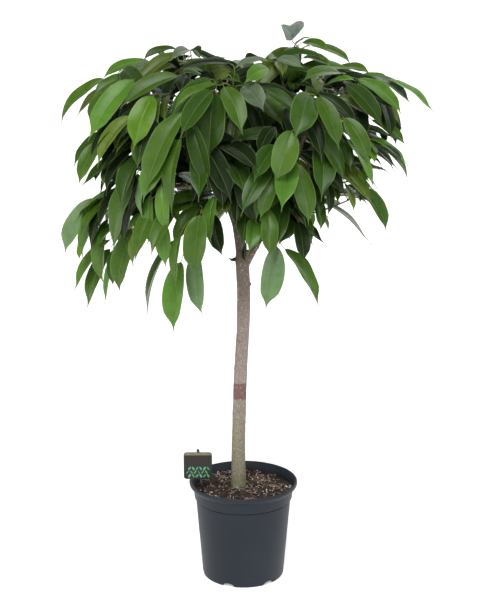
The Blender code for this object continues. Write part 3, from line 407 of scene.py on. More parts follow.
def smooth_bark():
    """Matt bark whose colour goes by height, with a stained band and pale lenticels."""
    tree, shader, material = new_material("smooth_fig_bark")
    place = add(tree, "ShaderNodeTexCoord").outputs["Object"]
    level = add(tree, "ShaderNodeSeparateXYZ", {"Vector": place}).outputs["Z"]
    stretch = add(tree, "ShaderNodeMapping", {"Vector": place, "Scale": (1.0, 1.0, 0.55)})
    cloud = add(tree, "ShaderNodeTexNoise",
                {"Vector": stretch, "Scale": 34.0, "Detail": 6.0, "Roughness": 0.62})
    shift = add(tree, "ShaderNodeMath", {0: cloud, 1: 0.14, 2: -0.07}, operation="MULTIPLY_ADD")
    height = add(tree, "ShaderNodeMath", {0: level, 1: shift})
    share = add(tree, "ShaderNodeMapRange",
                {"Value": height, "From Min": SOIL_LEVEL, "From Max": DARKEST_FORK_SHADE_AT})
    # the last three stops darken towards the fork as painted shade from the crown above
    along = add(tree, "ShaderNodeValToRGB", {"Fac": share}, (
        (0.0, "#676A48"), (1.0, "#43352E"), (0.05, "#726F59"), (0.28, "#7A7463"),
        (0.42, "#887B73"), (0.64, "#84766D"), (0.78, "#6E6257"), (0.88, "#594B41")))
    grain = add(tree, "ShaderNodeTexNoise",
                {"Vector": stretch, "Scale": 300.0, "Detail": 5.0, "Roughness": 0.7})
    freckle = add(tree, "ShaderNodeMapRange",
                  {"Value": grain, "From Min": 0.32, "From Max": 0.68, "To Min": 0.12, "To Max": 0.88})
    mottle = add(tree, "ShaderNodeMix",
                 {0: 0.50, 6: along, 7: freckle}, data_type="RGBA", blend_type="OVERLAY")
    # the stain's edges wander by 4 mm each way, and it is patchy inside
    wander = add(tree, "ShaderNodeTexNoise", {"Vector": place, "Scale": 60.0})
    edge = add(tree, "ShaderNodeMath", {0: wander, 1: 0.008, 2: -0.004}, operation="MULTIPLY_ADD")
    edge_z = add(tree, "ShaderNodeMath", {0: level, 1: edge})
    low = add(tree, "ShaderNodeMapRange",
              {"Value": edge_z, "From Min": BAND_LOW - BAND_SOFT, "From Max": BAND_LOW + BAND_SOFT})
    high = add(tree, "ShaderNodeMapRange",
               {"Value": edge_z, "From Min": BAND_HIGH + BAND_SOFT, "From Max": BAND_HIGH - BAND_SOFT})
    band = add(tree, "ShaderNodeMath", {0: low, 1: high}, operation="MULTIPLY")
    patchy = add(tree, "ShaderNodeMapRange",
                 {"Value": grain, "From Min": 0.36, "From Max": 0.58, "To Min": 0.40})
    strength = add(tree, "ShaderNodeMath", {0: band, 1: patchy}, operation="MULTIPLY")
    stained = add(tree, "ShaderNodeMix",
                  {0: strength, 6: mottle, 7: linear("#663E3A")}, data_type="RGBA")
    # lenticels 1.2 mm across, about 4 mm apart
    dots = add(tree, "ShaderNodeTexVoronoi", {"Vector": stretch, "Scale": 235.0})
    dot = add(tree, "ShaderNodeMapRange", {"Value": dots, "From Min": 0.32, "From Max": 0.14})
    some = add(tree, "ShaderNodeSeparateColor", {"Color": dots.outputs["Color"]})
    kept = add(tree, "ShaderNodeMath", {0: some, 1: 0.45}, operation="GREATER_THAN")
    pale = add(tree, "ShaderNodeMath", {0: dot, 1: kept}, operation="MULTIPLY")
    faint = add(tree, "ShaderNodeMath", {0: pale, 1: 0.62}, operation="MULTIPLY")
    dotted = add(tree, "ShaderNodeMix", {0: faint, 6: stained, 7: linear("#B5AC9F")}, data_type="RGBA")
    raised = add(tree, "ShaderNodeMath", {0: pale, 1: 0.5, 2: grain}, operation="MULTIPLY_ADD")
    bump = add(tree, "ShaderNodeBump",
               {"Height": raised, "Strength": 0.55, "Distance": 0.4 * MILLIMETRE})
    set_inputs(shader, {"Base Color": dotted, "Roughness": 0.82, "IOR": 1.5, "Normal": bump})
    return material


bark = smooth_bark()
print("made", bark.name)

# %% [markdown]
# Stem and limbs
#
# The routes below are those of the solids: a stem by height, then limbs as points with a
# radius at the root and at the tip. Each becomes a round tube. Where tubes meet, real wood
# swells into a collar. A voxel remesh joins the tubes into one skin, smoothing rounds the
# crotches, and a little noise then gives the skin its knobs and slight bends.

# %% Routes of the stem and the limbs
GAP = 0.0003
STEM_SIDES = 12
STEM = (
    (0.105, -0.0102, 0.0168), (0.206, -0.0102, 0.0168), (0.226, -0.0103, 0.0162),
    (0.290, -0.0108, 0.0148), (0.405, -0.0082, 0.0147), (0.497, -0.0047, 0.0143),
    (0.564, -0.0008, 0.0140), (0.631, 0.0007, 0.0145), (0.675, -0.0004, 0.0143),
    (0.712, -0.0022, 0.0148), (0.741, -0.0030, 0.0140),
)
# Limbs: a route of points, then the radius at the root and at the tip
LIMB_SIDES = 6
LIMB_STEP = 0.052
LIMBS = {
    "left": (((-0.003, 0.0, 0.715), (-0.009, 0.002, 0.770), (-0.024, 0.006, 0.840),
              (-0.045, 0.010, 0.885), (-0.078, 0.012, 0.940), (-0.105, 0.016, 1.010),
              (-0.118, 0.012, 1.065)), 0.0125, 0.0042),
    "right": (((-0.001, 0.0, 0.700), (0.014, 0.0, 0.728), (0.036, -0.002, 0.772),
               (0.066, -0.006, 0.840), (0.098, -0.010, 0.915), (0.128, -0.014, 0.985),
               (0.150, -0.016, 1.045)), 0.0092, 0.0038),
    "leader": (((-0.012, 0.003, 0.785), (-0.006, 0.016, 0.850), (-0.003, 0.014, 0.940),
                (0.004, 0.008, 1.020), (0.016, 0.000, 1.110)), 0.0090, 0.0040),
    "low_left": (((-0.034, 0.007, 0.862), (-0.068, -0.004, 0.884), (-0.105, -0.018, 0.886),
                  (-0.150, -0.034, 0.884), (-0.205, -0.048, 0.890)), 0.0066, 0.0034),
    "low_right": (((0.046, -0.003, 0.795), (0.082, -0.018, 0.830), (0.125, -0.034, 0.858),
                   (0.180, -0.046, 0.884)), 0.0060, 0.0034),
    "front": (((-0.016, 0.003, 0.805), (-0.020, -0.040, 0.846), (-0.024, -0.085, 0.882),
               (-0.022, -0.135, 0.925)), 0.0062, 0.0034),
    "back_left": (((-0.004, 0.002, 0.748), (-0.022, 0.052, 0.800), (-0.052, 0.110, 0.862),
                   (-0.084, 0.158, 0.940), (-0.100, 0.180, 1.010)), 0.0078, 0.0036),
    "back_right": (((0.030, 0.0, 0.762), (0.046, 0.046, 0.812), (0.072, 0.102, 0.872),
                    (0.100, 0.150, 0.945), (0.112, 0.172, 1.010)), 0.0072, 0.0036),
    "front_left": (((-0.048, 0.010, 0.890), (-0.078, -0.040, 0.942), (-0.104, -0.085, 0.990),
                    (-0.122, -0.125, 1.030)), 0.0056, 0.0034),
    "front_right": (((0.070, -0.006, 0.848), (0.092, -0.052, 0.910), (0.112, -0.095, 0.965),
                     (0.124, -0.130, 1.010)), 0.0056, 0.0034),
    "top_front": (((-0.002, 0.012, 0.962), (-0.012, -0.038, 1.018), (-0.016, -0.085, 1.056)),
                  0.0052, 0.0034),
}
CUT_STUB = (((-0.003, 0.0, 0.722), (-0.024, -0.004, 0.727)), 0.0056, 0.0052)

# %% Tubes along a route
SEAT_SHARES = (0.2, 0.5, 0.8)


def smooth_route(route, step):
    """Points along a Catmull-Rom curve through a route, about a step apart."""
    points = [Vector(point) for point in route]
    ends = [2 * points[0] - points[1]] + points + [2 * points[-1] - points[-2]]
    run = []
    for k in range(1, len(ends) - 2):
        a, b, c, d = ends[k - 1:k + 3]
        pieces = max(1, round((c - b).length / step))
        for piece in range(pieces):
            t = piece / pieces
            square = (2 * a - 5 * b + 4 * c - d) * t * t
            cube = (3 * b - a - 3 * c + d) * t ** 3
            run.append(0.5 * (2 * b + (c - a) * t + square + cube))
    return run + [points[-1]]


def rings_of(run, radii, sides):
    """Rings of points square to a run, turned as little as possible from one to the next."""
    rings, side = [], None
    for k, point in enumerate(run):
        along = (run[min(k + 1, len(run) - 1)] - run[max(k - 1, 0)]).normalized()
        if side is None:
            side = along.orthogonal()
        side = (side - side.dot(along) * along).normalized()
        across = along.cross(side)
        turns = [math.tau * s / sides for s in range(sides)]
        rings.append(
            [point + radii[k] * (math.cos(t) * side + math.sin(t) * across) for t in turns])
    return rings


def tube(rings, point_end=None):
    """Points and faces of a closed tube, with a flat end or one drawn to a point."""
    sides = len(rings[0])
    points = [point for ring in rings for point in ring]
    faces = [tuple(range(sides))]
    for row in range(len(rings) - 1):
        low, high = row * sides, (row + 1) * sides
        for s in range(sides):
            after = (s + 1) % sides
            faces.append((low + s, low + after, high + after, high + s))
    last = (len(rings) - 1) * sides
    if point_end is None:
        faces.append(tuple(range(last, last + sides)))
    else:
        points.append(point_end)
        faces += [(last + s, last + (s + 1) % sides, len(points) - 1) for s in range(sides)]
    return points, faces


def tapered(run, root, tip):
    """One radius for each point of a run, from the root's to the tip's."""
    return [root + (tip - root) * k / (len(run) - 1) for k in range(len(run))]


def stem_rings():
    """The stem's rings of points, level ones by height."""
    turns = [math.tau * s / STEM_SIDES for s in range(STEM_SIDES)]
    return [[Vector((x + radius * math.cos(t), radius * math.sin(t), z)) for t in turns]
            for z, x, radius in STEM]


def limb_rings(route, root, tip):
    """A limb's run and its rings of points."""
    run = smooth_route(route, LIMB_STEP)
    return run, rings_of(run, tapered(run, root, tip), LIMB_SIDES)


def seats_on(run, rings):
    """Where a twig can stand on a limb, (middle, way out): on its flats, and at its end."""
    seats = [(run[-1], (run[-1] - run[-2]).normalized())]
    for k in range(2, len(run) - 1):
        middle = (run[k] + run[k + 1]) / 2
        for s in range(LIMB_SIDES):
            after = (s + 1) % LIMB_SIDES
            low = (rings[k][s], rings[k][after])
            high = (rings[k + 1][s], rings[k + 1][after])
            out = (high[1] - low[0]).cross(high[0] - low[1]).normalized()
            if out.dot(sum(low + high, Vector()) / 4 - middle) < 0:
                out = -out
            for share in SEAT_SHARES:
                seats.append((((low[0] + low[1]) / 2).lerp((high[0] + high[1]) / 2, share), out))
    return seats


# %% One skin for the stem and the limbs
STUB = (((-0.003, 0.0, 0.718), (-0.014, -0.002, 0.721), (-0.025, -0.0045, 0.7215)), 0.0070, 0.0030)
ROUND_SIDES = 20
ROUND_STEP = 0.012
VOXEL = 1.8 * MILLIMETRE
RELAX_SHARE, RELAX_TIMES = 0.5, 5
# Knobs of old buds, by middle and radius
KNOBS = (
    ((0.0140, -0.0040, 0.667), 0.0038), ((0.0122, -0.0060, 0.617), 0.0036),
    ((-0.0075, -0.0118, 0.642), 0.0036), ((-0.0040, 0.0138, 0.560), 0.0042),
    ((-0.0180, 0.0010, 0.478), 0.0030), ((0.0030, 0.0110, 0.350), 0.0036),
)


def ball(subdivisions, radius=1.0, middle=(0.0, 0.0, 0.0)):
    """Points and faces of a ball."""
    shell = bmesh.new()
    bmesh.ops.create_icosphere(
        shell, subdivisions=subdivisions, radius=radius, matrix=Matrix.Translation(middle))
    points = [vertex.co.copy() for vertex in shell.verts]
    faces = [tuple(corner.index for corner in face.verts) for face in shell.faces]
    shell.free()
    return points, faces


def round_tube(route, root, tip):
    """A fine round tube along a route, drawn to a point."""
    run = smooth_route(route, ROUND_STEP)
    rings = rings_of(run, tapered(run, root, tip), ROUND_SIDES)
    return tube(rings, run[-1] + (run[-1] - run[-2]).normalized() * tip)


stem_route = smooth_route([(x, 0.0, z) for z, x, _ in STEM], ROUND_STEP)
heights, widths = [z for z, _, _ in STEM], [radius for _, _, radius in STEM]
stem_radii = [float(np.interp(point.z, heights, widths)) for point in stem_route]
shapes = [tube(rings_of(stem_route, stem_radii, ROUND_SIDES * 2))]
shapes += [round_tube(*limb) for limb in (*LIMBS.values(), STUB)]
shapes += [ball(2, radius, middle) for middle, radius in KNOBS]
skin = plain_object("skin", mesh_of("skin", *joined(shapes)))
remesh = skin.modifiers.new("Voxels", "REMESH")
remesh.mode = "VOXEL"
remesh.voxel_size = VOXEL
relax = skin.modifiers.new("Relax", "SMOOTH")
relax.factor, relax.iterations = RELAX_SHARE, RELAX_TIMES
trunk_mesh = evaluated_mesh(skin)
print("skin", len(trunk_mesh.vertices), "points")

# %% Slight unevenness of the bark
SWELL, SWELL_SIZE = 0.5 * MILLIMETRE, 0.030
RIPPLE, RIPPLE_SIZE = 0.18 * MILLIMETRE, 0.005
RING_EVERY, RING_HEIGHT, RING_SHARPNESS = 0.034, 0.25 * MILLIMETRE, 24
RING_WANDER, RING_WANDER_SIZE = 0.004, 0.020
trunk_mesh.update()
moves = []
for vertex in trunk_mesh.vertices:
    place = vertex.co
    rise = SWELL * noise.noise(place / SWELL_SIZE) + RIPPLE * noise.noise(place / RIPPLE_SIZE)
    wander = place.z + RING_WANDER * noise.noise(place / RING_WANDER_SIZE)
    rise += RING_HEIGHT * max(math.cos(math.tau * wander / RING_EVERY), 0.0) ** RING_SHARPNESS
    moves.append(place + vertex.normal * rise)
for vertex, place in zip(trunk_mesh.vertices, moves):
    vertex.co = place
trunk_mesh.shade_smooth()
new_piece("stem_and_limbs", trunk_mesh, [bark], "trunk")
print("stem and limbs", len(trunk_mesh.polygons), "faces")

# %% [markdown]
# Potting mix
#
# Standard trees are potted in a coarse mix: pine bark chips of 5 to 15 mm, peat crumbs,
# coir fibres, and white perlite that keeps it airy. From above one sees chips lying flat in
# reddish and dark browns, dark hollows between them, and pale threads and grains. The bed
# is a turned disc with relief, and its low spots are painted near black as shade. The chips,
# threads and grains are strewn over it with seeded draws, each lying on the surface, and
# each gets its own colour from a short card.

# %% Peat, bark, coir and perlite
def toned(name, grain, shades, surface, relief=None):
    """A stuff whose colour comes with the points of its mesh.

    Its grain darkens and lightens that colour. The arguments after the name are the inputs
    of its noise, of the range of its shades, of its surface and of its bump, if it has one.
    """
    tree, shader, material = new_material(name)
    own = add(tree, "ShaderNodeAttribute", attribute_name="tone")
    place = add(tree, "ShaderNodeTexCoord").outputs["Object"]
    pattern = add(tree, "ShaderNodeTexNoise", {"Vector": place, **grain})
    shade = add(tree, "ShaderNodeMapRange", {"Value": pattern, **shades})
    colour = add(tree, "ShaderNodeMix",
                 {0: 1.0, 6: own, 7: shade}, data_type="RGBA", blend_type="MULTIPLY")
    set_inputs(shader, {"Base Color": colour, **surface})
    if relief:
        set_inputs(shader, {"Normal": add(tree, "ShaderNodeBump", {"Height": pattern, **relief})})
    return material


def crumbly(name, rough, scale, depth):
    """A dry matt stuff with a deep broken grain."""
    return toned(name, {"Scale": scale, "Detail": 5.0, "Roughness": 0.7},
                 {"From Min": 0.3, "From Max": 0.7, "To Min": 0.55, "To Max": 1.25},
                 {"Roughness": rough}, {"Strength": 0.8, "Distance": depth})


peat = crumbly("damp_peat", 0.95, 420.0, 1.0 * MILLIMETRE)
chip_bark = crumbly("composted_pine_bark", 0.86, 260.0, 0.6 * MILLIMETRE)
coir = crumbly("coir_fibre", 0.80, 500.0, 0.2 * MILLIMETRE)
perlite = crumbly("expanded_perlite", 0.90, 700.0, 0.3 * MILLIMETRE)
print("made", peat.name, chip_bark.name, coir.name, perlite.name)

# %% The bed of peat
SOIL_RELIEF = 0.0030
SOIL_LOBES = ((3, 19.0, 0.625), (5, -40.0, 0.375))
SOIL_STEPS, SOIL_RINGS = 160, 46
CRUMB, CRUMB_SIZE = 1.7 * MILLIMETRE, 0.0055
CRUMB_ROUGHNESS, CRUMB_FINER, CRUMB_OCTAVES = 0.6, 2.0, 3
TONE_MIDDLE, TONE_SWING = 0.45, 0.7
LUMP, LUMP_SIZE = 1.8 * MILLIMETRE, 0.017
MOUND, MOUND_REACH = 0.0055, 0.042
# the bed runs from near black in its low spots, painted shade, to the peat's own brown on its crests
SHADED_HOLLOW, CREST = Vector(linear("#0E0907")), Vector(linear("#35231A"))


def soil_height(x, y):
    """The level of the bed with its slow relief and its lumps."""
    radius, angle = math.hypot(x, y), math.atan2(y, x)
    slow = sum(share * math.sin(lobes * angle + twist * radius)
               for lobes, twist, share in SOIL_LOBES)
    mound = MOUND * math.exp(-((x - STEM[1][1]) ** 2 + y ** 2) / MOUND_REACH ** 2)
    lumps = LUMP * noise.noise(Vector((x, y, 0.0)) / LUMP_SIZE)
    return SOIL_LEVEL + SOIL_RELIEF * slow + mound + lumps


shoulder, step, wall, bottom = POT_INSIDE[-5:-1]
slope = (shoulder[0] - step[0]) / (shoulder[1] - step[1])
bed_edge = shoulder[0] + slope * (SOIL_LEVEL - shoulder[1]) - 2 * GAP
profile = [(0.0, FLOOR_TOP + GAP), (bottom[0] - 2 * GAP, FLOOR_TOP + GAP),
           (wall[0] - 2 * GAP, wall[1]), (step[0] - 2 * GAP, step[1])]
profile += [(bed_edge * (1 - k / SOIL_RINGS), SOIL_LEVEL) for k in range(SOIL_RINGS + 1)]
bed = spun("bed", profile, SOIL_STEPS)
tones = []
for vertex in bed.vertices:
    x, y, z = vertex.co
    crumb = 0.0
    if z > SOIL_LEVEL - GAP:
        spot = Vector((x, y, 0.0)) / CRUMB_SIZE
        crumb = noise.fractal(spot, CRUMB_ROUGHNESS, CRUMB_FINER, CRUMB_OCTAVES)
        vertex.co.z = soil_height(x, y) + CRUMB * crumb
    # the lower a point, the darker it is painted: shade in the hollows
    tones.append(SHADED_HOLLOW.lerp(CREST, min(max(TONE_MIDDLE + TONE_SWING * crumb, 0.0), 1.0)))
coloured(bed, tones)
new_piece("peat_bed", bed, [peat], "potting_mix")
print("bed", round(2000 * bed_edge), "mm across,", len(bed.polygons), "faces")

# %% Bark chips, strewn flat
STAKE_TOP = Vector((-0.0995, -0.0350, 0.3040))
STAKE_TILT = math.radians(6)
stake_way = Vector((math.sin(STAKE_TILT), 0.0, -math.cos(STAKE_TILT)))
stake_foot = STAKE_TOP + stake_way * (STAKE_TOP.z - SOIL_LEVEL)
CHIP_SIZES = (0.0035, 0.0125)
CHIP_BARKS = ("#211611", "#3D271C", "#2B1D16", "#170F0C", "#4A3226", "#2B1D16", "#6A4A38",
              "#1E1512", "#8C6E58")
BULGE, BULGE_SCALE = 0.34, 1.6
WALL_CLEAR = 0.004
STEM_CLEAR_SHARE, CHUNK_CLEAR_SHARE, CHUNK_CLEAR = 0.6, 0.6, 0.001


def strewn(draw, clear):
    """A place on the bed that is clear of the wall, the stem and the stake."""
    while True:
        radius, angle = (bed_edge - clear) * math.sqrt(draw.random()), draw.uniform(0.0, math.tau)
        x, y = radius * math.cos(angle), radius * math.sin(angle)
        stem_x, stem_radius = STEM[1][1], STEM[1][2]
        if math.hypot(x - stem_x, y) < stem_radius + clear * STEM_CLEAR_SHARE:
            continue
        if math.hypot(x - stake_foot.x, y - stake_foot.y) > clear:
            return x, y


def chunk(draw, corners, size, blocky, tilt, sink):
    """A chunk with its own jitter, laid on the bed, from the corners of a ball."""
    x, y = strewn(draw, max(size) * CHUNK_CLEAR_SHARE + CHUNK_CLEAR)
    turn = Matrix.Rotation(draw.uniform(0.0, math.tau), 3, "Z")
    for axis in "XY":
        turn = turn @ Matrix.Rotation(draw.uniform(-tilt, tilt), 3, axis)
    middle = Vector((x, y, soil_height(x, y) + max(size[2] * sink, 0.0)))
    offset = Vector((draw.uniform(0, 50), draw.uniform(0, 50), 0.0))
    points = []
    for corner in corners:
        shape = [math.copysign(abs(value) ** blocky, value) * reach
                 for value, reach in zip(corner, size)]
        bulge = 1.0 + BULGE * noise.noise(corner * BULGE_SCALE + offset)
        points.append(middle + turn @ (Vector(shape) * bulge))
    return points


def heap(name, material, card, count, seed, sizes, blocky, tilt, sink):
    """A seeded heap of chunks in one mesh, each with a colour from the card."""
    draw = random.Random(seed)
    corners, faces = ball(2)
    shapes, colours = [], []
    for _ in range(count):
        size = sizes(draw)
        points = chunk(draw, corners, size, blocky, tilt, sink)
        shade = Vector(linear(draw.choice(card))) * draw.uniform(0.75, 1.2)
        shapes.append((points, faces))
        colours += [shade] * len(points)
    mesh = mesh_of(name, *joined(shapes))
    coloured(mesh, colours)
    shade_smooth(mesh, 30)
    new_piece(name, mesh, [material])
    print(name, count, "chunks,", len(mesh.polygons), "faces")


def chip_size(draw):
    """Half the length, width and thickness of a chip."""
    length = draw.uniform(*CHIP_SIZES) * draw.uniform(0.6, 1.0)
    return length / 2, length * draw.uniform(0.35, 0.75) / 2, length * draw.uniform(0.16, 0.34) / 2


heap("bark_chips", chip_bark, CHIP_BARKS, count=760, seed=5, sizes=chip_size, blocky=0.62,
     tilt=math.radians(34), sink=0.8)

# %% Perlite grains
LARGEST_GRAIN = 1.9
PERLITES = ("#C9C1B6", "#D6CFC7", "#BBAE9E", "#DFDCD6")


def grain_size(draw):
    """The three radii of a grain, most of them small."""
    radius = draw.uniform(0.5, 1.0) ** 2 * LARGEST_GRAIN * MILLIMETRE
    return radius, radius * draw.uniform(0.7, 1.0), radius * draw.uniform(0.6, 0.9)


heap("perlite_grains", perlite, PERLITES, count=190, seed=8, sizes=grain_size, blocky=0.8,
     tilt=math.pi, sink=1.6)

# %% Coir threads and fine roots
THREADS, THREAD_STEPS, THREAD_SIDES = 84, 12, 5
THREAD_LENGTHS, THREAD_RADII = (0.018, 0.055), (0.25, 0.75)
THREAD_ARCH, THREAD_LIFT, THREAD_CLEAR = 2.2 * MILLIMETRE, 0.0022, 0.010
THREAD_BEND, THREAD_SWAY = 0.35, 0.22
COIRS = ("#9C8872", "#6E5542", "#B4A48E", "#543F31", "#84705A")


def thread(draw):
    """A curved thread that wanders over the chips, thin at both ends."""
    x, y = strewn(draw, THREAD_CLEAR)
    heading, bend = draw.uniform(0.0, math.tau), draw.uniform(-0.5, 0.5)
    step = draw.uniform(*THREAD_LENGTHS) / THREAD_STEPS
    thick = draw.uniform(*THREAD_RADII) * MILLIMETRE
    run = []
    for k in range(THREAD_STEPS):
        if math.hypot(x, y) < bed_edge - WALL_CLEAR:
            arch = THREAD_ARCH * math.sin(math.pi * k / (THREAD_STEPS - 1))
            run.append(Vector((x, y, soil_height(x, y) + THREAD_LIFT + arch)))
        heading += bend * THREAD_BEND + draw.uniform(-THREAD_SWAY, THREAD_SWAY)
        x, y = x + step * math.cos(heading), y + step * math.sin(heading)
    radii = [thick * (0.35 + 0.65 * math.sin(math.pi * (k + 0.5) / len(run))) for k in range(len(run))]
    return tube(rings_of(run, radii, THREAD_SIDES)) if len(run) > 3 else None


draw = random.Random(21)
shapes = [shape for shape in (thread(draw) for _ in range(THREADS)) if shape]
colours = [Vector(linear(draw.choice(COIRS))) for _ in shapes]
mesh = mesh_of("coir_threads", *joined(shapes))
coloured(mesh, [colour for shape, colour in zip(shapes, colours) for _ in shape[0]])
mesh.shade_smooth()
new_piece("coir_threads", mesh, [coir])
print("threads", len(shapes))

# %% The dead tip of the cut limb
# The wood beyond the cut has dried to a dark point.
DEAD_TIP = ((-0.0180, -0.0035, 0.7215), (-0.0250, -0.0045, 0.7205), (-0.0305, -0.0050, 0.7240))
DEAD_TIP_RADII = (0.0046, 0.0010)
mesh = mesh_of("dead_tip", *round_tube(DEAD_TIP, *DEAD_TIP_RADII))
coloured(mesh, [Vector(linear("#2E221C"))] * len(mesh.vertices))
mesh.shade_smooth()
new_piece("dead_tip", mesh, [crumbly("dead_wood", 0.85, 300.0, 0.4 * MILLIMETRE)])
print("dead tip", len(mesh.polygons), "faces")

# %% [markdown]
# Plant label
#
# The label is a die-cut card of 1 mm polypropylene with round corners, offset printed and
# varnished, pushed on a black moulded stake. Its upper half is a plain dark panel. The
# lower half has a printed pattern of simple leaves on dark green, and a speckled border
# runs along the top. Ink is only colour, so it is drawn as flat shapes a few hundredths of
# a millimetre in front of the card.

# %% Printed card and stake plastic
CARD_SIZE, CARD_THICKNESS, CARD_CORNER, CARD_BELOW_TOP = 0.062, 0.0010, 0.006, 0.0065
STAKE_WIDTH, STAKE_THICKNESS, STAKE_LENGTH, STAKE_POINT = 0.0060, 0.0030, 0.150, 0.020


def black_polystyrene():
    """Black moulded plastic with a slight cloudiness. Polystyrene has an IOR of 1.59."""
    tree, shader, material = new_material("black_polystyrene")
    place = add(tree, "ShaderNodeTexCoord").outputs["Object"]
    cloud = add(tree, "ShaderNodeTexNoise", {"Vector": place, "Scale": 130.0})
    tint = add(tree, "ShaderNodeValToRGB", {"Fac": cloud}, ((0.3, "#0D0D0E"), (0.7, "#161719")))
    set_inputs(shader, {"Base Color": tint, "Roughness": 0.42, "IOR": 1.59})
    return material


print_ink = toned("varnished_print_on_card", {"Scale": 420.0, "Detail": 3.0},
                  {"To Min": 0.80, "To Max": 1.18},
                  {"Roughness": 0.38, "Specular IOR Level": 0.3})
stake_plastic = black_polystyrene()
print("made", print_ink.name, stake_plastic.name)


# %% The card and the stake
def bevel(shell, edges, offset, segments=2):
    """Rounds some edges of an edited mesh."""
    bmesh.ops.bevel(
        shell, geom=edges, offset=offset, segments=segments, profile=0.5, affect="EDGES")


card_middle = STAKE_TOP - Vector(
    (0.0, STAKE_THICKNESS / 2 + GAP + CARD_THICKNESS / 2, CARD_BELOW_TOP + CARD_SIZE / 2))
shell = bmesh.new()
card_box = Matrix.Diagonal((CARD_SIZE, CARD_THICKNESS, CARD_SIZE, 1.0))
bmesh.ops.create_cube(shell, size=1.0, matrix=card_box)
across = [edge for edge in shell.edges if abs((edge.verts[0].co - edge.verts[1].co).y) > GAP]
bevel(shell, across, CARD_CORNER, 10)
bevel(shell, shell.edges[:], 0.15 * MILLIMETRE)
bmesh.ops.translate(shell, vec=card_middle, verts=shell.verts)
card = mesh_from(shell, "card")
coloured(card, [linear("#241D1A")] * len(card.vertices))
new_piece("label_board", card, [print_ink], "label_card")

STAKE_SHOULDER = 0.002
shell = bmesh.new()
half, thick = STAKE_WIDTH / 2, STAKE_THICKNESS / 2
outline = ((-half, -STAKE_SHOULDER), (-half * 0.5, 0.0), (half * 0.5, 0.0), (half, -STAKE_SHOULDER),
           (half, STAKE_POINT - STAKE_LENGTH), (0.0, -STAKE_LENGTH),
           (-half, STAKE_POINT - STAKE_LENGTH))
flat = shell.faces.new([shell.verts.new((x, -thick, z)) for x, z in outline])
grown = bmesh.ops.extrude_face_region(shell, geom=[flat])["geom"]
far = [item for item in grown if isinstance(item, bmesh.types.BMVert)]
bmesh.ops.translate(shell, vec=(0.0, STAKE_THICKNESS, 0.0), verts=far)
bmesh.ops.recalc_face_normals(shell, faces=shell.faces)
bevel(shell, shell.edges[:], 0.4 * MILLIMETRE)
stake_place = Matrix.Translation(STAKE_TOP) @ Matrix.Rotation(-STAKE_TILT, 4, "Y")
bmesh.ops.transform(shell, verts=shell.verts, matrix=stake_place)
stake = mesh_from(shell, "stake")
shade_smooth(stake, 40)
new_piece("moulded_stake", stake, [stake_plastic], "label_stake")
print("card", len(card.polygons), "faces, stake", len(stake.polygons), "faces")

# %% The printed pattern
INK_LIFT = 0.06 * MILLIMETRE
EDGE_MARGIN = 0.5 * MILLIMETRE
BORDER = (-0.0005, -0.0070)
PICTURE = (-0.0305, -0.0615)
BORDER_GROUND, PICTURE_GROUND = ("#5F6E49", "#6B5A4E"), ("#13271C", "#0F1E16")
LEAF_INKS = ("#305C33", "#1B442A", "#47745A", "#26523B", "#567D67", "#3B652A")
BORDER_INKS = ("#717F56", "#936B68", "#496038", "#A0917F", "#7F5853", "#576E44")
RIB_INK = "#A9D0B4"
LEAF_ROWS, ROW_LEAVES, LEAF_PITCH, ROW_SHIFT = (-0.0375, -0.0460, -0.0545), 7, 0.0082, 0.0041
INK_LEAF, INK_RIB, INK_LEAN, LEAN_WANDER = (0.0098, 0.0046), (0.0086, 0.0005), 32, 0.12
SPECKS, SPECK_PITCH, SPECK_LEVEL, SPECK_WANDER = 26, 0.0021, -0.0038, 0.0018


def card_half(z):
    """Half the printed width at a distance down from the card's top edge."""
    inward = max(CARD_CORNER - min(-z, CARD_SIZE + z), 0.0)
    rounding = math.sqrt(max(CARD_CORNER ** 2 - inward ** 2, 0.0))
    return CARD_SIZE / 2 - EDGE_MARGIN - CARD_CORNER + rounding


def on_card(x, z, level):
    """A place on one of the thin levels of ink, from the middle of the card's top edge."""
    front = card_middle.y - CARD_THICKNESS / 2 - INK_LIFT * level
    return Vector((card_middle.x + x, front, card_middle.z + CARD_SIZE / 2 + z))


def ink_zone(top, low, codes, rows=10):
    """A printed zone that follows the card's round corners."""
    heights = [top + (low - top) * k / rows for k in range(rows + 1)]
    points = [on_card(side * card_half(z), z, 1) for z in heights for side in (-1, 1)]
    faces = [(2 * k + 2, 2 * k + 3, 2 * k + 1, 2 * k) for k in range(rows)]
    first, last = Vector(linear(codes[0])), Vector(linear(codes[-1]))
    return (points, faces), [first.lerp(last, (k // 2) / rows) for k in range(len(points))]


def ink_leaf(x, z, length, width, lean, code, level, steps=14):
    """A pointed oval of ink."""
    points = []
    for k in range(steps):
        turn = math.tau * k / steps
        across = width / 2 * math.sin(turn) * abs(math.sin(turn)) ** 0.3
        along = length / 2 * math.cos(turn)
        points.append(on_card(x + across * math.cos(lean) + along * math.sin(lean),
                              z - across * math.sin(lean) + along * math.cos(lean), level))
    return (points, [tuple(range(steps - 1, -1, -1))]), [Vector(linear(code))] * steps


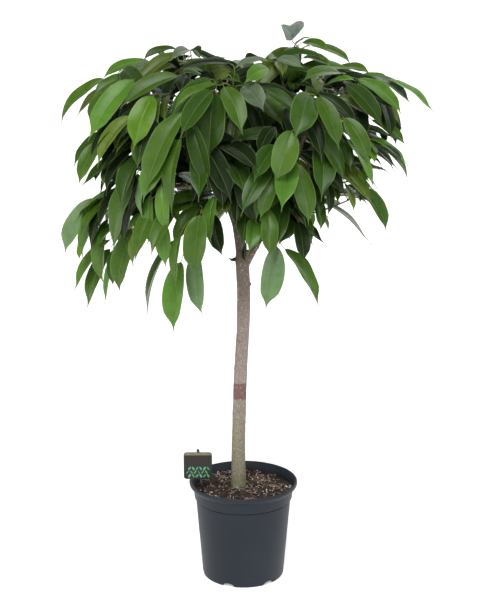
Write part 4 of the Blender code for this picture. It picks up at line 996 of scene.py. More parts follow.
prints = [ink_zone(*BORDER, BORDER_GROUND), ink_zone(*PICTURE, PICTURE_GROUND)]
draw = random.Random(3)
for row, z in enumerate(LEAF_ROWS):
    for k in range(ROW_LEAVES):
        x = (k - 3) * LEAF_PITCH + (ROW_SHIFT if row % 2 else 0.0) - 0.002
        lean = math.radians(INK_LEAN if (k + row) % 2 else -INK_LEAN)
        lean += draw.uniform(-LEAN_WANDER, LEAN_WANDER)
        if abs(x) < CARD_SIZE / 2 - 0.0055:
            code = LEAF_INKS[(2 * k + row) % len(LEAF_INKS)]
            prints.append(ink_leaf(x, z, *INK_LEAF, lean, code, 2))
            prints.append(ink_leaf(x, z, *INK_RIB, lean, RIB_INK, 3))
for k in range(SPECKS):
    x = (k - 12.5) * SPECK_PITCH
    z = SPECK_LEVEL + draw.uniform(-SPECK_WANDER, SPECK_WANDER)
    prints.append(ink_leaf(x, z, draw.uniform(0.0016, 0.0030), 0.0014, draw.uniform(-1.4, 1.4),
                           draw.choice(BORDER_INKS), 2, 8))
mesh = mesh_of("printed_pattern", *joined([shape for shape, _ in prints]))
coloured(mesh, [colour for _, colours in prints for colour in colours])
new_piece("printed_pattern", mesh, [print_ink])
print("printed shapes", len(prints))

# %% [markdown]
# The crown: where each leaf is
#
# A fig of this kind holds its leaves on thin twigs, each leaf hanging from a short petiole.
# The lines below repeat the rules that placed the leaves of the solids: leaves that show
# from the front come from what the eye sees, one by one, and lie along its lines of sight;
# the others turn round their twigs by the angle of 137.5 degrees at which most plants set
# their leaves. Each leaf is moved a little until it stands clear of its neighbours. The
# seeds are the same, so that the fine leaves fall on the leaves of the solids.

# %% The eye, the crown and the leaves that it sees
EYE_FOCAL = 1438.0
EYE_MIDDLE = (IMAGE_WIDTH / 2, IMAGE_HEIGHT / 2)
EYE_FORWARD = Vector((0.0, math.cos(EYE_PITCH), -math.sin(EYE_PITCH)))
EYE_UP = Vector((0.0, math.sin(EYE_PITCH), math.cos(EYE_PITCH)))
PIXEL = 0.00213


# The crown turned round the stem, (height, radius), how far of that it comes forward, the
# step inward from one layer of leaves to the next, and the farthest back of a front leaf
CROWN = (
    (0.60, 0.33), (0.76, 0.36), (0.91, 0.37), (1.04, 0.36), (1.08, 0.31), (1.14, 0.22), (1.20, 0.08),
)
FORWARD = 0.80
LAYER_STEP = 0.028
FARTHEST_BACK = 0.10

# A leaf: its petiole, the rib of its blade, the fold along it, the bow of its spine, and
# the (share of length, share of width) of the sections across its blade
PETIOLE_HALF = 0.0012
GROOVE = 0.4
RIB_HALF = 0.0007
FOLD = math.radians(12)
BOW = 0.20
BOW_FORWARD = 0.5
STATIONS = ((0.20, 0.78), (0.47, 1.0), (0.78, 0.56))
PLAIN_STATIONS = ((0.30, 0.94), (0.66, 0.80))
SHAPED_LAYERS = 2

# A front leaf: width as a share of length, the shortest length of a leaf and of a small
# one, that one's width in pixels, the widest blade, allowances on the size seen, and how
# far inward its base may lie from its tip
SLENDERNESS = 0.34
SHORT_LEAF, SMALL_LEAF = 0.112, 0.088
SMALL_WIDTH = 7.5
WIDEST_LEAF = 0.075
LENGTH_MORE, WIDTH_MORE = 1.02, 1.04
INWARD_MORE, INWARD_LEAST = 0.01, 0.6
SKY_UP, SKY_OUT = 0.9, 0.6
SKY_FLAT = 0.3
MIDDLE_BAND = 0.02

# How a leaf is moved until it stands clear: along the line of sight in steps, then freely,
# with its tip swung, its blade rolled and, late on, its length cut
SEED = 11
TRIES = 160
RULE_TRIES = 8
SLIDE_STEP = 0.007
SLIDE_TRIES = 12
SLIDE_FREE = (-0.05, 0.06)
SWING_AFTER, SWING = 6, 0.030
ROLL_AFTER, ROLL, ROLL_START = 8, 0.7, 0.4
CUT_AFTER, CUT_LENGTH = 0.7, 0.85
GUARD = 0.0016
OWN_GUARD = 0.0002
ROOT_SLANT = (0.02, 0.06)
ROOT_OFFSET = 0.0004
OUTLINE_SHARES = (0.35, 0.7, 1.0)

# Twigs: the run from the seat to the bud, and where along it petioles may leave
TWIG_SIDES = 4
TWIG_RINGS = 4
TWIG_ROOT, TWIG_TIP = 0.0030, 0.0014
TWIG_TAPER = 0.8
TWIG_EASE = 0.34
BUD = 0.010
ROOT_FROM, ROOT_SPAN, ROOT_STEPS, ROOT_LOWEST = 0.22, 0.75, 30, 0.18
SHARPEST_BEND, BEND_PENALTY = -0.15, 0.2

# Seats on the limbs, and what makes one costly: a bend in the twig, or too short a twig
SEAT_SPACING = 0.013
SEAT_LIFTS, SEAT_LIFT = 6, 0.0001
BEND_COST = 1.7
SHORT_TWIG = 0.05

# A front shoot's twig: it comes from a heart below its leaves and ends at the farthest
HEART_IN, HEART_BELOW = 0.2, 0.10
END_SHARE = 0.6
END_OUTWARD = 0.8
END_LEAST = 0.01

# Front shoots, leaf by leaf as the eye sees them: base x, base y, tip x, tip y and width in
# pixels, then the layer, 0 in front
FRONT_SHOOTS = (
    ((134, 80, 89, 142, 21, 0), (130, 76, 91, 99, 10, 1), (150, 62, 100, 80, 10, 1),
     (104, 79, 58, 127, 10, 2), (120, 83, 75, 119, 9, 3), (158, 66, 128, 75, 8, 1),
     (108, 90, 89, 125, 10, 1)),
    ((178, 76, 120, 109, 14, 0), (205, 80, 178, 73, 5, 1), (180, 72, 161, 62, 10, 2),
     (187, 77, 180, 95, 12, 1)),
    ((176, 49, 141, 61, 7, 1), (165, 61, 154, 49, 7, 2), (189, 50, 171, 60, 10, 1),
     (200, 56, 190, 50, 11, 1)),
    ((213, 76, 226, 57, 14, 0), (214, 77, 228, 68, 5, 1), (213, 79, 183, 66, 8, 2),
     (220, 85, 171, 112, 8, 0)),
    ((153, 96, 134, 150, 24, 0), (160, 96, 158, 127, 8, 1), (168, 96, 165, 124, 8, 1)),
    ((132, 116, 97, 168, 13, 0), (130, 122, 115, 153, 8, 1), (132, 135, 116, 155, 6, 1),
     (120, 142, 104, 160, 8, 2), (112, 130, 72, 169, 9, 1), (100, 142, 79, 186, 15, 1)),
    ((134, 158, 81, 189, 10, 0), (104, 168, 95, 182, 5, 2), (112, 166, 102, 186, 10, 1),
     (120, 163, 115, 187, 5, 2), (137, 165, 115, 254, 17, 0), (146, 128, 137, 170, 16, 1)),
    ((97, 199, 64, 256, 19, 0), (112, 189, 81, 263, 15, 1), (114, 195, 90, 250, 10, 2),
     (84, 235, 80, 262, 6, 1)),
    ((110, 240, 75, 294, 10, 0), (110, 249, 89, 311, 15, 0), (113, 250, 113, 288, 12, 1),
     (122, 250, 107, 306, 7, 1), (135, 228, 119, 295, 19, 1)),
    ((146, 222, 133, 268, 9, 0), (141, 212, 131, 232, 6, 1), (138, 180, 124, 247, 14, 2),
     (147, 170, 143, 220, 6, 1), (151, 195, 152, 249, 12, 1)),
    ((160, 215, 166, 269, 16, 1), (163, 183, 167, 236, 14, 0), (160, 178, 157, 202, 8, 2),
     (176, 240, 148, 320, 6, 1), (178, 200, 178, 225, 6, 2)),
    ((179, 140, 142, 204, 21, 0), (184, 112, 146, 195, 22, 1), (191, 122, 209, 189, 18, 1),
     (181, 138, 174, 216, 13, 0), (190, 140, 203, 184, 14, 2)),
    ((212, 91, 180, 138, 19, 0), (214, 94, 209, 160, 31, 1), (228, 100, 221, 139, 8, 2)),
    ((224, 87, 242, 136, 20, 0), (228, 108, 237, 134, 9, 1), (243, 86, 264, 112, 20, 1),
     (222, 80, 242, 84, 9, 1), (268, 68, 244, 84, 15, 0), (246, 98, 258, 111, 9, 2)),
    ((200, 215, 194, 276, 23, 0), (182, 231, 178, 287, 9, 0), (215, 196, 211, 247, 12, 1),
     (181, 262, 175, 333, 21, 1), (196, 252, 202, 318, 18, 2), (212, 215, 222, 258, 17, 2),
     (199, 205, 173, 248, 14, 1), (226, 192, 219, 218, 9, 2), (231, 193, 226, 217, 9, 2)),
    ((254, 219, 249, 254, 15, 0), (246, 243, 245, 264, 5, 1), (238, 190, 236, 228, 14, 2),
     (236, 180, 257, 227, 12, 2), (238, 160, 241, 193, 18, 2)),
    ((274, 127, 258, 157, 14, 1), (276, 146, 254, 183, 18, 0), (262, 170, 255, 222, 14, 1),
     (273, 172, 260, 221, 16, 1), (280, 166, 283, 206, 20, 1)),
    ((292, 131, 276, 184, 25, 0), (293, 163, 309, 226, 21, 1)),
    ((268, 209, 270, 259, 17, 0), (276, 246, 265, 310, 23, 1), (285, 249, 318, 309, 13, 1),
     (277, 212, 325, 247, 10, 2)),
    ((298, 222, 304, 264, 16, 1), (285, 195, 310, 226, 14, 2)),
    ((309, 94, 295, 140, 27, 0), (317, 97, 339, 151, 17, 0), (266, 90, 298, 117, 12, 0),
     (254, 87, 300, 108, 10, 1)),
    ((358, 79, 403, 116, 13, 0), (372, 77, 411, 106, 10, 1), (388, 80, 434, 115, 6, 0),
     (357, 79, 393, 82, 6, 1), (347, 85, 383, 128, 17, 1), (318, 94, 357, 130, 11, 2),
     (335, 98, 384, 128, 11, 2), (372, 120, 406, 147, 10, 2)),
    ((292, 40, 279, 24, 20, 0), (302, 43, 330, 52, 9, 0), (312, 46, 353, 65, 8, 1),
     (277, 57, 329, 62, 6, 1)),
    ((277, 59, 304, 70, 10, 0), (276, 58, 268, 61, 7, 1), (280, 61, 283, 77, 12, 1),
     (294, 90, 292, 69, 16, 1), (303, 58, 333, 68, 8, 1), (268, 61, 232, 70, 6, 1)),
    ((340, 73, 301, 82, 11, 0), (334, 69, 372, 74, 8, 1), (325, 86, 357, 80, 5, 1)),
    ((308, 124, 345, 186, 16, 1), (344, 118, 369, 165, 17, 0), (347, 139, 373, 190, 9, 0),
     (342, 140, 351, 172, 12, 1)),
    ((369, 139, 408, 167, 6, 0), (369, 141, 410, 182, 5, 0), (367, 147, 375, 165, 7, 1),
     (362, 138, 378, 157, 3, 1)),
    ((345, 184, 354, 213, 6, 1), (347, 185, 368, 204, 6, 1), (360, 187, 387, 233, 13, 0),
     (357, 190, 360, 204, 7, 1), (358, 168, 364, 186, 9, 1)),
    ((300, 152, 347, 199, 16, 1), (327, 178, 328, 218, 9, 1), (331, 183, 338, 204, 7, 2),
     (312, 168, 320, 190, 12, 2)),
    ((314, 199, 370, 247, 3, 0), (319, 200, 321, 232, 11, 1), (316, 208, 329, 233, 4, 1)),
)

# The crown's outline as the eye sees it, in pixels, clockwise from its left tip
OUTLINE = (
    (66, 112), (100, 80), (141, 60), (170, 48), (205, 50), (232, 62), (262, 55), (277, 42),
    (300, 40), (345, 60), (391, 80), (431, 112), (402, 138), (408, 166), (380, 185), (386, 228),
    (360, 205), (340, 205), (322, 246), (300, 262), (262, 250), (248, 262), (232, 228),
    (224, 212), (214, 246), (196, 262), (184, 215), (176, 200), (168, 236), (150, 262),
    (125, 285), (90, 308), (76, 290), (66, 252), (80, 210), (98, 192), (80, 184), (74, 166),
    (88, 140),
)

# Back shoots, turned round the stem by rule: angles, heights, reach as a share of the
# crown's radius, and the length and direction of their twigs
BACK_SHOOTS = 15
BACK_FROM, BACK_TO = math.radians(-14), math.radians(194)
BACK_FIRST, BACK_TURN = 0.5, 0.618
BACK_LOW, BACK_HIGH = 0.815, 1.125
BACK_REACH = 0.66
BACK_TWIG = 0.13
BACK_OUT, BACK_UP = 0.9, 0.35

# Leaves by rule: how many inner ones a front shoot has and how many a back shoot, on which
# part of the twig, and each one's length, turn, pull along each direction, and face
INNER_LEAVES, INNER_PART = 2, (0.35, 0.75)
BACK_LEAVES, BACK_PART = 7, (0.42, 0.97)
PART_START = 0.4
REDRAWS = 14
TURN = math.radians(137.5)
TURN_WANDER = 0.3
RULE_LENGTHS = (0.125, 0.168)
RULE_WIDTHS = (0.92, 1.10)
BASE_OUT, BASE_AHEAD = 0.020, 0.010
PULL_SPOKE, PULL_AHEAD, PULL_OUT, PULL_DOWN = 0.7, 0.35, (0.0, 0.35), (0.55, 1.05)
FACE_UP, FACE_OUT, FACE_SPOKE = 0.8, 0.7, 0.4

# How each front leaf looks: Young, Light, Middle, Deep, darK, Olive, Grey, Pale. Light, Middle,
# Deep and darK are read off how bright each leaf looks, so besides its own green each carries
# painted light and shade, and Pale carries painted sheen
FRONT_TONES = (
    "LMLMOGM", "DMKK", "DMGK", "YGKM", "YMO", "LOMPDM", "DKOKMM", "PLKY", "LMDLM", "OLKPL", "LDKGL",
    "LMKMK", "DDK", "OKGMLO", "MMPLMKMOO", "LKKKK", "KDMMY", "MM", "PPMK", "KK", "DDKK", "LGLLDKOK",
    "GMMD", "GMOMMK", "MML", "DMLD", "LGYM", "OGDYL", "KKOK", "MDG",
)
# The part of the crown that lets no light through, as the eye sees it, in pixels
DENSE = (
    (96, 106), (128, 82), (160, 68), (200, 66), (238, 72), (292, 62), (345, 74), (385, 96), (396, 120),
    (390, 150), (370, 178), (350, 196), (318, 200), (302, 232), (286, 226), (262, 222), (250, 240),
    (240, 214), (234, 184), (222, 180), (206, 198), (196, 206), (184, 190), (166, 216), (142, 236),
    (128, 224), (116, 198), (102, 172), (90, 146),
)
# Tones of leaves by rule: dark ones with painted shade deep in the crown, and lighter ones near the
# outline
SHADE_TONES, EDGE_TONES = "KDKKDKOM", "MDMOLMDM"
BACK_SHELL = 0.15

# %% [markdown]
# Leaves and twigs as simple shapes
#
# For finding free places a leaf can be a plain folded shape. A tree of boxes tells fast
# whether two shapes cross. A leaf that finds no free place first slides along its line of
# sight, where the eye can't tell, and only then swings, rolls or grows shorter.

# %% Directions and curves
def square_to(along, way):
    """A way of length 1, turned as little as makes it square to a direction."""
    return (way - way.project(along)).normalized()


def shaken(draw, reach):
    """A vector whose three parts are drawn from minus to plus a reach."""
    return Vector([draw.uniform(-reach, reach) for _ in range(3)])


def cubic(curve, t):
    """A point on a cubic curve, given by its start, two pulls and its end."""
    a, b, c, d = curve
    s = 1 - t
    return a * s ** 3 + b * 3 * s * s * t + c * 3 * s * t * t + d * t ** 3


# %% Where the eye sees a place
def seen(x, y, depth):
    """The point at a given depth, as world Y, that the eye sees at a pixel."""
    line = EYE_FORWARD + EYE_UP * ((EYE_MIDDLE[1] - y) / EYE_FOCAL)
    line.x = (x - EYE_MIDDLE[0]) / EYE_FOCAL
    return EYE + line * ((depth - EYE.y) / line.y)


def within(outline, x, y):
    """Whether a pixel lies inside a closed outline."""
    inside = False
    for (ax, ay), (bx, by) in zip(outline, outline[1:] + outline[:1]):
        if (ay > y) != (by > y) and x < ax + (bx - ax) * (y - ay) / (by - ay):
            inside = not inside
    return inside


def pixel_of(place):
    """The pixel at which the eye sees a place."""
    line = place - EYE
    far = line.dot(EYE_FORWARD)
    return (EYE_MIDDLE[0] + EYE_FOCAL * line.x / far,
            EYE_MIDDLE[1] - EYE_FOCAL * line.dot(EYE_UP) / far)


def within_outline(place):
    """Whether the eye sees a place inside the crown's outline."""
    return within(OUTLINE, *pixel_of(place))


def crown_radius(height):
    """The crown's radius at a height."""
    if height <= CROWN[0][0]:
        return CROWN[0][1]
    for (low, near), (high, far) in zip(CROWN, CROWN[1:]):
        if height <= high:
            return near + (far - near) * (height - low) / (high - low)
    return CROWN[-1][1]


def shell_depth(x, y, layer):
    """How far forward a leaf of a layer lies, as world Y, on the crown's domed front."""
    depth = 0.0
    for _ in range(4):
        place = seen(x, y, depth)
        depth = -FORWARD * math.sqrt(max(crown_radius(place.z) ** 2 - place.x ** 2, 0.0))
    return min(depth + LAYER_STEP * layer, FARTHEST_BACK)


print("the crown's top is seen at pixel", *map(round, pixel_of(UP * CROWN[-1][0])))

# %% The plain shape of a leaf
class Leaf:
    """A leaf's base, tip, width and the way its upper face looks."""

    def __init__(self, base, tip, width, face, stations=PLAIN_STATIONS, tone="M"):
        self.base, self.tip, self.width, self.face = base, tip, width, face
        self.stations, self.tone = stations, tone
        self.root, self.share = None, None

    def moved(self, slide, swing, roll, shorten):
        """A copy slid bodily, with its tip swung, its blade rolled and its length cut."""
        base = self.base + slide
        tip = base + (self.tip - self.base) * shorten + swing
        face = Quaternion((tip - base).normalized(), roll) @ self.face
        return Leaf(base, tip, self.width * shorten, face, self.stations, self.tone)

    def spine(self, share):
        """Point and direction at a share of the blade's length, on a bowed curve."""
        along = self.tip - self.base
        rise = square_to(along, UP + self.face * BOW_FORWARD)
        crest = (self.base + self.tip) / 2 + rise * along.length * BOW
        rest = 1 - share
        point = self.base * rest ** 2 + crest * 2 * share * rest + self.tip * share ** 2
        return point, ((crest - self.base) * rest + (self.tip - crest) * share).normalized()

    def frame(self, along):
        """The way the upper face looks, and the way to the right edge, square to a direction."""
        face = square_to(along, self.face)
        return face, along.cross(face)

    def mesh(self, guard=0.0, with_petiole=True):
        """Points and faces of the closed leaf. Both sides of the blade are cut along like diagonals.

        The petiole has three sides, grooved edges left and right and a keel below. A section of
        the blade has four points: left edge, upper rib, right edge and lower rib.
        """
        along = self.spine(0.0)[1]
        if with_petiole:
            along = (along + (self.base - self.root).normalized()).normalized()
        face, side = self.frame(along)
        half = PETIOLE_HALF + guard
        points = [self.base - side * half + face * half * GROOVE,
                  self.base + side * half + face * half * GROOVE, self.base - face * half]
        faces, left = [(0, 1, 2)], 0
        if with_petiole:
            step = self.root - self.base
            points = [point + step for point in points] + points
            faces += [(k, (k + 1) % 3, 3 + (k + 1) % 3, 3 + k) for k in range(3)]
            left = 3
        right, keel, first = left + 1, left + 2, len(points)
        faces += [(left, first, first + 1), (left, first + 1, right), (right, first + 1, first + 2),
                  (left, first, first + 3), (left, first + 3, keel), (right, first + 2, first + 3),
                  (right, first + 3, keel)]
        for share, width in self.stations:
            point, along = self.spine(share)
            face, side = self.frame(along)
            half, thick = self.width * width / 2 + guard, face * (RIB_HALF + guard)
            lift, out = face * half * math.sin(FOLD), side * half * math.cos(FOLD)
            points += [point - out + lift, point + thick, point + out + lift, point - thick]
        for row in range(len(self.stations) - 1):
            a, b = first + 4 * row, first + 4 * row + 4
            for edge, rib in ((0, 1), (2, 1), (2, 3), (0, 3)):
                faces.append((a + edge, b + edge, b + rib))
                faces.append((a + edge, b + rib, a + rib))
        last = len(points) - 4
        tip, ahead = self.spine(1.0)
        points.append(tip + ahead * guard)
        faces += [(last + k, last + (k + 1) % 4, len(points) - 1) for k in range(4)]
        return points, faces


def front_leaf(row, flip, tone):
    """A leaf as the eye sees it: its tip on the crown's front, its base as far in as its length asks."""
    base_x, base_y, tip_x, tip_y, width, layer = row
    tip = seen(tip_x, tip_y, shell_depth(tip_x, tip_y, layer))
    shown = (seen(base_x, base_y, tip.y) - tip).length
    length = max(shown * LENGTH_MORE, SHORT_LEAF if width > SMALL_WIDTH else SMALL_LEAF)
    inward = math.sqrt(max(length ** 2 - shown ** 2, 0.0))
    depth = min(shell_depth(base_x, base_y, layer), tip.y + inward + INWARD_MORE)
    base = seen(base_x, base_y, max(depth, tip.y + inward * INWARD_LEAST))
    along = (tip - base).normalized()
    true_width = max(SLENDERNESS * (tip - base).length, width * PIXEL * WIDTH_MORE)
    true_width = min(true_width, WIDEST_LEAF)
    toward = square_to(along, EYE - base)
    outward = Vector((flip, 0.0, 0.0))
    if abs(base.x) > MIDDLE_BAND:
        outward = Vector((base.x, base.y * SKY_FLAT, 0.0)).normalized()
    sky = square_to(along, UP * SKY_UP + outward * SKY_OUT)
    turn = math.acos(min(width * PIXEL / true_width, 1.0))
    if toward.cross(sky).dot(along) < 0:
        turn = -turn
    face = Quaternion(along, turn) @ toward
    return Leaf(base, tip, true_width, face, STATIONS if layer < SHAPED_LAYERS else PLAIN_STATIONS, tone)


first_leaf = front_leaf(FRONT_SHOOTS[0][0], 1.0, "L")
print("the first leaf is", round(1000 * (first_leaf.tip - first_leaf.base).length), "mm long")

# %% The plain shape of a twig
class Twig:
    """A twig's bent run from its seat on a limb to its bud."""

    def __init__(self, seat, out, end, ahead):
        reach = (end - seat).length * TWIG_EASE
        self.out = out
        self.curve = (seat, seat + out * reach, end - ahead * reach, end)
        self.run = [self.bend(k / (TWIG_RINGS - 1)) for k in range(TWIG_RINGS)]

    def bend(self, t):
        """A point on the twig's smooth curve."""
        return cubic(self.curve, t)

    def at(self, t):
        """A point on the twig's own straight facets, so that a petiole's root is inside them."""
        place = t * (TWIG_RINGS - 1)
        ring = min(int(place), TWIG_RINGS - 2)
        return self.run[ring].lerp(self.run[ring + 1], place - ring)

    def mesh(self, guard=0.0):
        """Points and faces of the twig, its foot cut flat to stand on the limb."""
        run = self.run
        shares = [(k / (TWIG_RINGS - 1)) ** TWIG_TAPER for k in range(TWIG_RINGS)]
        radii = [TWIG_ROOT + guard + (TWIG_TIP - TWIG_ROOT) * share for share in shares]
        rings = rings_of(run, radii, TWIG_SIDES)
        rings[0] = [point - self.out * (point - run[0]).dot(self.out) for point in rings[0]]
        return tube(rings, run[-1] + (run[-1] - run[-2]).normalized() * BUD)

    def root_of(self, leaf, slant):
        """Where a leaf's petiole leaves the twig: near its blade, and at no sharp bend to it."""
        heading = leaf.spine(0.0)[1]

        def reach(t):
            gap = leaf.base - self.at(t)
            sharp = heading.dot(gap.normalized()) < SHARPEST_BEND
            return gap.length + (BEND_PENALTY if sharp else 0.0)

        share = min((ROOT_FROM + ROOT_SPAN * k / ROOT_STEPS for k in range(ROOT_STEPS + 1)), key=reach)
        leaf.share = max(share - slant, ROOT_LOWEST)
        return self.at(leaf.share)


# %% Which shapes stand clear of each other
def box_of(points):
    """The lowest and highest corner of a box round some points."""
    return (tuple(min(point[k] for point in points) for k in range(3)),
            tuple(max(point[k] for point in points) for k in range(3)))


def apart(one, other):
    """Whether two boxes stand clear of each other."""
    return any(one[0][k] > other[1][k] or one[1][k] < other[0][k] for k in range(3))


class Crowd:
    """Everything already placed, by the name of its solid."""

    def __init__(self):
        self.placed = []

    def add(self, owner, points, faces):
        self.placed.append((owner, box_of(points), BVHTree.FromPolygons(points, faces)))

    def free(self, points, faces, skip=None):
        """Whether a shape stands clear of all but one solid."""
        box, tree = box_of(points), None
        for owner, other_box, other in self.placed:
            if owner == skip or apart(box, other_box):
                continue
            tree = tree or BVHTree.FromPolygons(points, faces)
            if tree.overlap(other):
                return False
        return True


def place_leaf(crowd, owner, own, twig, leaf, draw, tries=TRIES, by_rule=False, wholly=False):
    """The leaf, moved as little as is needed to stand clear of every other solid, or None."""
    kept = None
    slant = draw.uniform(*ROOT_SLANT)
    offset = shaken(draw, 1) * ROOT_OFFSET
    for attempt in range(tries):
        ease = attempt / tries
        sight = (leaf.base - EYE).normalized()
        steps = (attempt + 1) // 2 * (1 if attempt % 2 else -1)
        slide = sight * (SLIDE_STEP * steps if attempt < SLIDE_TRIES else draw.uniform(*SLIDE_FREE))
        loose = 0.0 if attempt < SWING_AFTER else SWING * ease
        swing = shaken(draw, loose)
        roll = 0.0 if attempt < ROLL_AFTER else draw.uniform(-ROLL, ROLL) * (ROLL_START + ease)
        tried = leaf.moved(slide, swing, roll, 1.0 if ease < CUT_AFTER else CUT_LENGTH)
        if by_rule and not all(within_outline(tried.spine(share)[0]) for share in OUTLINE_SHARES):
            continue
        if wholly and not all(within_outline(point) for point in tried.mesh(0.0, False)[0]):
            continue
        tried.root = twig.root_of(tried, slant) + offset
        if crowd.free(*tried.mesh(GUARD), skip=owner):
            kept = kept or tried
            if own.free(*tried.mesh(OWN_GUARD, False)):
                kept = tried
                break
    if kept is None:
        return None
    crowd.add(owner, *kept.mesh())
    own.add(owner, *kept.mesh(0.0, False))
    return kept


# %% Where a twig stands and where it leads
def choose_seat(crowd, seats, used, target, end, ahead):
    """The twig on the free seat from which it runs straightest and shortest to its leaves."""
    def cost(seat):
        middle, out = seat
        gap = target - middle
        short = SHORT_TWIG if gap.length < SHORT_TWIG else 0.0
        return gap.length * (BEND_COST - out.dot(gap.normalized())) + short

    for middle, out in sorted(seats, key=cost):
        if any((middle - other).length < SEAT_SPACING for other in used):
            continue
        for lift in range(SEAT_LIFTS):
            twig = Twig(middle + out * (GAP + SEAT_LIFT * lift), out, end, ahead)
            if crowd.free(*twig.mesh()):
                break
        else:
            continue
        if crowd.free(*twig.mesh(GUARD), skip="trunk"):
            used.append(middle)
            return twig
    raise ValueError("no free seat for a twig")


def front_plan(rows, tones):
    """The leaves of a front shoot, their middle, and where its twig ends and points."""
    leaves = [front_leaf(row, -1.0 if k % 2 else 1.0, tones[k]) for k, row in enumerate(rows)]
    middle = sum((leaf.base for leaf in leaves), Vector()) / len(leaves)
    heart = Vector((middle.x * HEART_IN, middle.y * HEART_IN, middle.z - HEART_BELOW))
    far = max(leaves, key=lambda leaf: (leaf.base - heart).length).base
    end = Vector((far.x, middle.y, far.z)) * END_SHARE + middle * (1 - END_SHARE)
    ahead = (middle - heart).normalized()
    if (end - middle).length > END_LEAST:
        ahead = ((end - middle).normalized() + ahead * END_OUTWARD).normalized()
    return leaves, middle, end, ahead


def back_plan(index):
    """Where a shoot on the back or side of the crown starts its leaves, ends and points."""
    share = (index + 0.5) / BACK_SHOOTS
    angle = BACK_FROM + (BACK_TO - BACK_FROM) * ((index * BACK_TURN + BACK_FIRST) % 1.0)
    height = BACK_LOW + (BACK_HIGH - BACK_LOW) * share
    out = Vector((math.cos(angle), math.sin(angle), 0.0))
    end = out * crown_radius(height) * BACK_REACH + UP * height
    ahead = (out * BACK_OUT + UP * BACK_UP).normalized()
    return [], end - ahead * BACK_TWIG, end, ahead


# %% Leaves by rule, and the whole crown
def turned_leaf(twig, share, turn, draw):
    """A leaf on a twig by rule, turned round it, leaning outward and hanging."""
    point = twig.at(share)
    ahead = (twig.run[-1] - point).normalized()
    spoke = Quaternion(ahead, turn) @ ahead.orthogonal().normalized()
    out = Vector((point.x, point.y, 0.0)).normalized()
    base = point + spoke * BASE_OUT + ahead * BASE_AHEAD
    length = draw.uniform(*RULE_LENGTHS)
    heading = spoke * PULL_SPOKE + ahead * PULL_AHEAD + out * draw.uniform(*PULL_OUT)
    heading = (heading - UP * draw.uniform(*PULL_DOWN)).normalized()
    face = square_to(heading, UP * FACE_UP + out * FACE_OUT + spoke * FACE_SPOKE)
    width = length * SLENDERNESS * draw.uniform(*RULE_WIDTHS)
    return Leaf(base, base + heading * length, width, face)


def plan_shoots():
    """By shoot: its plan, and the layers of its front leaves."""
    plans = {}
    for rows, tones in zip(FRONT_SHOOTS, FRONT_TONES):
        layers = [row[-1] for row in rows]
        plans[f"leafy_shoot_{len(plans) + 1:02d}"] = (front_plan(rows, tones), layers)
    for index in range(BACK_SHOOTS):
        plans[f"leafy_shoot_{len(plans) + 1:02d}"] = (back_plan(index), [])
    return plans


def rule_leaf(crowd, name, own, twig, k, wanted, part):
    """The k-th leaf by rule on a shoot, drawn again until one stands clear, or None."""
    share = part[1] - (part[1] - part[0]) * (k + PART_START) / wanted
    draw = random.Random(f"{SEED} {name} rule {k}")
    for redraw in range(REDRAWS):
        turn = TURN * k + draw.uniform(-TURN_WANDER, TURN_WANDER) * (1 + redraw)
        leaf = turned_leaf(twig, share, turn, draw)
        kept = place_leaf(crowd, name, own, twig, leaf, draw, RULE_TRIES, True)
        if kept:
            middle = (kept.base + kept.tip) / 2
            # a leaf deep in the crown as the eye sees it takes a darker tone: painted shade
            shaded = middle.y < BACK_SHELL and within(DENSE, *pixel_of(middle))
            tones = SHADE_TONES if shaded else EDGE_TONES
            kept.tone = random.Random(f"{SEED} {name} tone {k}").choice(tones)
            return kept
    return None


def grow_shoots(tubes, seats):
    """Every twig first, then the leaves that show, front layer by layer, then those by rule."""
    crowd, plans, used, twigs, own = Crowd(), plan_shoots(), [], {}, {}
    for points, faces in tubes:
        crowd.add("trunk", points, faces)
    for name, ((_, middle, end, ahead), _) in plans.items():
        twigs[name] = choose_seat(crowd, seats, used, middle, end, ahead)
        crowd.add(name, *twigs[name].mesh())
        own[name] = Crowd()
        own[name].add(name, *twigs[name].mesh())
    placed = {name: [] for name in plans}
    queue = sorted((layer, name, k)
                   for name, (_, layers) in plans.items() for k, layer in enumerate(layers))
    for layer, name, k in queue:
        leaf, draw = plans[name][0][0][k], random.Random(f"{SEED} {name} {k}")
        placed[name].append(place_leaf(crowd, name, own[name], twigs[name], leaf, draw))
    for k in range(BACK_LEAVES):
        for name, (_, layers) in plans.items():
            wanted, part = (INNER_LEAVES, INNER_PART) if layers else (BACK_LEAVES, BACK_PART)
            if k < wanted:
                placed[name].append(rule_leaf(crowd, name, own[name], twigs[name], k, wanted, part))
    leaves = {name: [leaf for leaf in some if leaf] for name, some in placed.items()}
    return crowd, own, twigs, leaves


# %% Set every leaf of the solids
tubes = [tube(stem_rings())]
seats = []
for route, root, tip in LIMBS.values():
    run, rings = limb_rings(route, root, tip)
    tubes.append(tube(rings))
    seats += seats_on(run, rings)
tubes.append(tube(limb_rings(*CUT_STUB)[1]))
crowd, own, twigs, leaves = grow_shoots(tubes, seats)
print("leaves of the solids:", sum(map(len, leaves.values())))

# %% [markdown]
# Leaf tissue
#
# A fig leaf has a thick waxy cuticle above, so its green looks deep and the sky lies on it
# as a soft bluish sheen. Leaf wax has an IOR near 1.45. The midrib is paler, and fine side
# veins leave it at about seventy degrees, four millimetres apart. A thin pale line along
# the margin is painted sheen. The underside is matt and paler. Some light passes through a
# leaf, and it comes out yellow green. Each leaf has a tone: yellow green when young, and
# blackish green deep in the crown, where painted shade darkens the leaves' own deeper green.

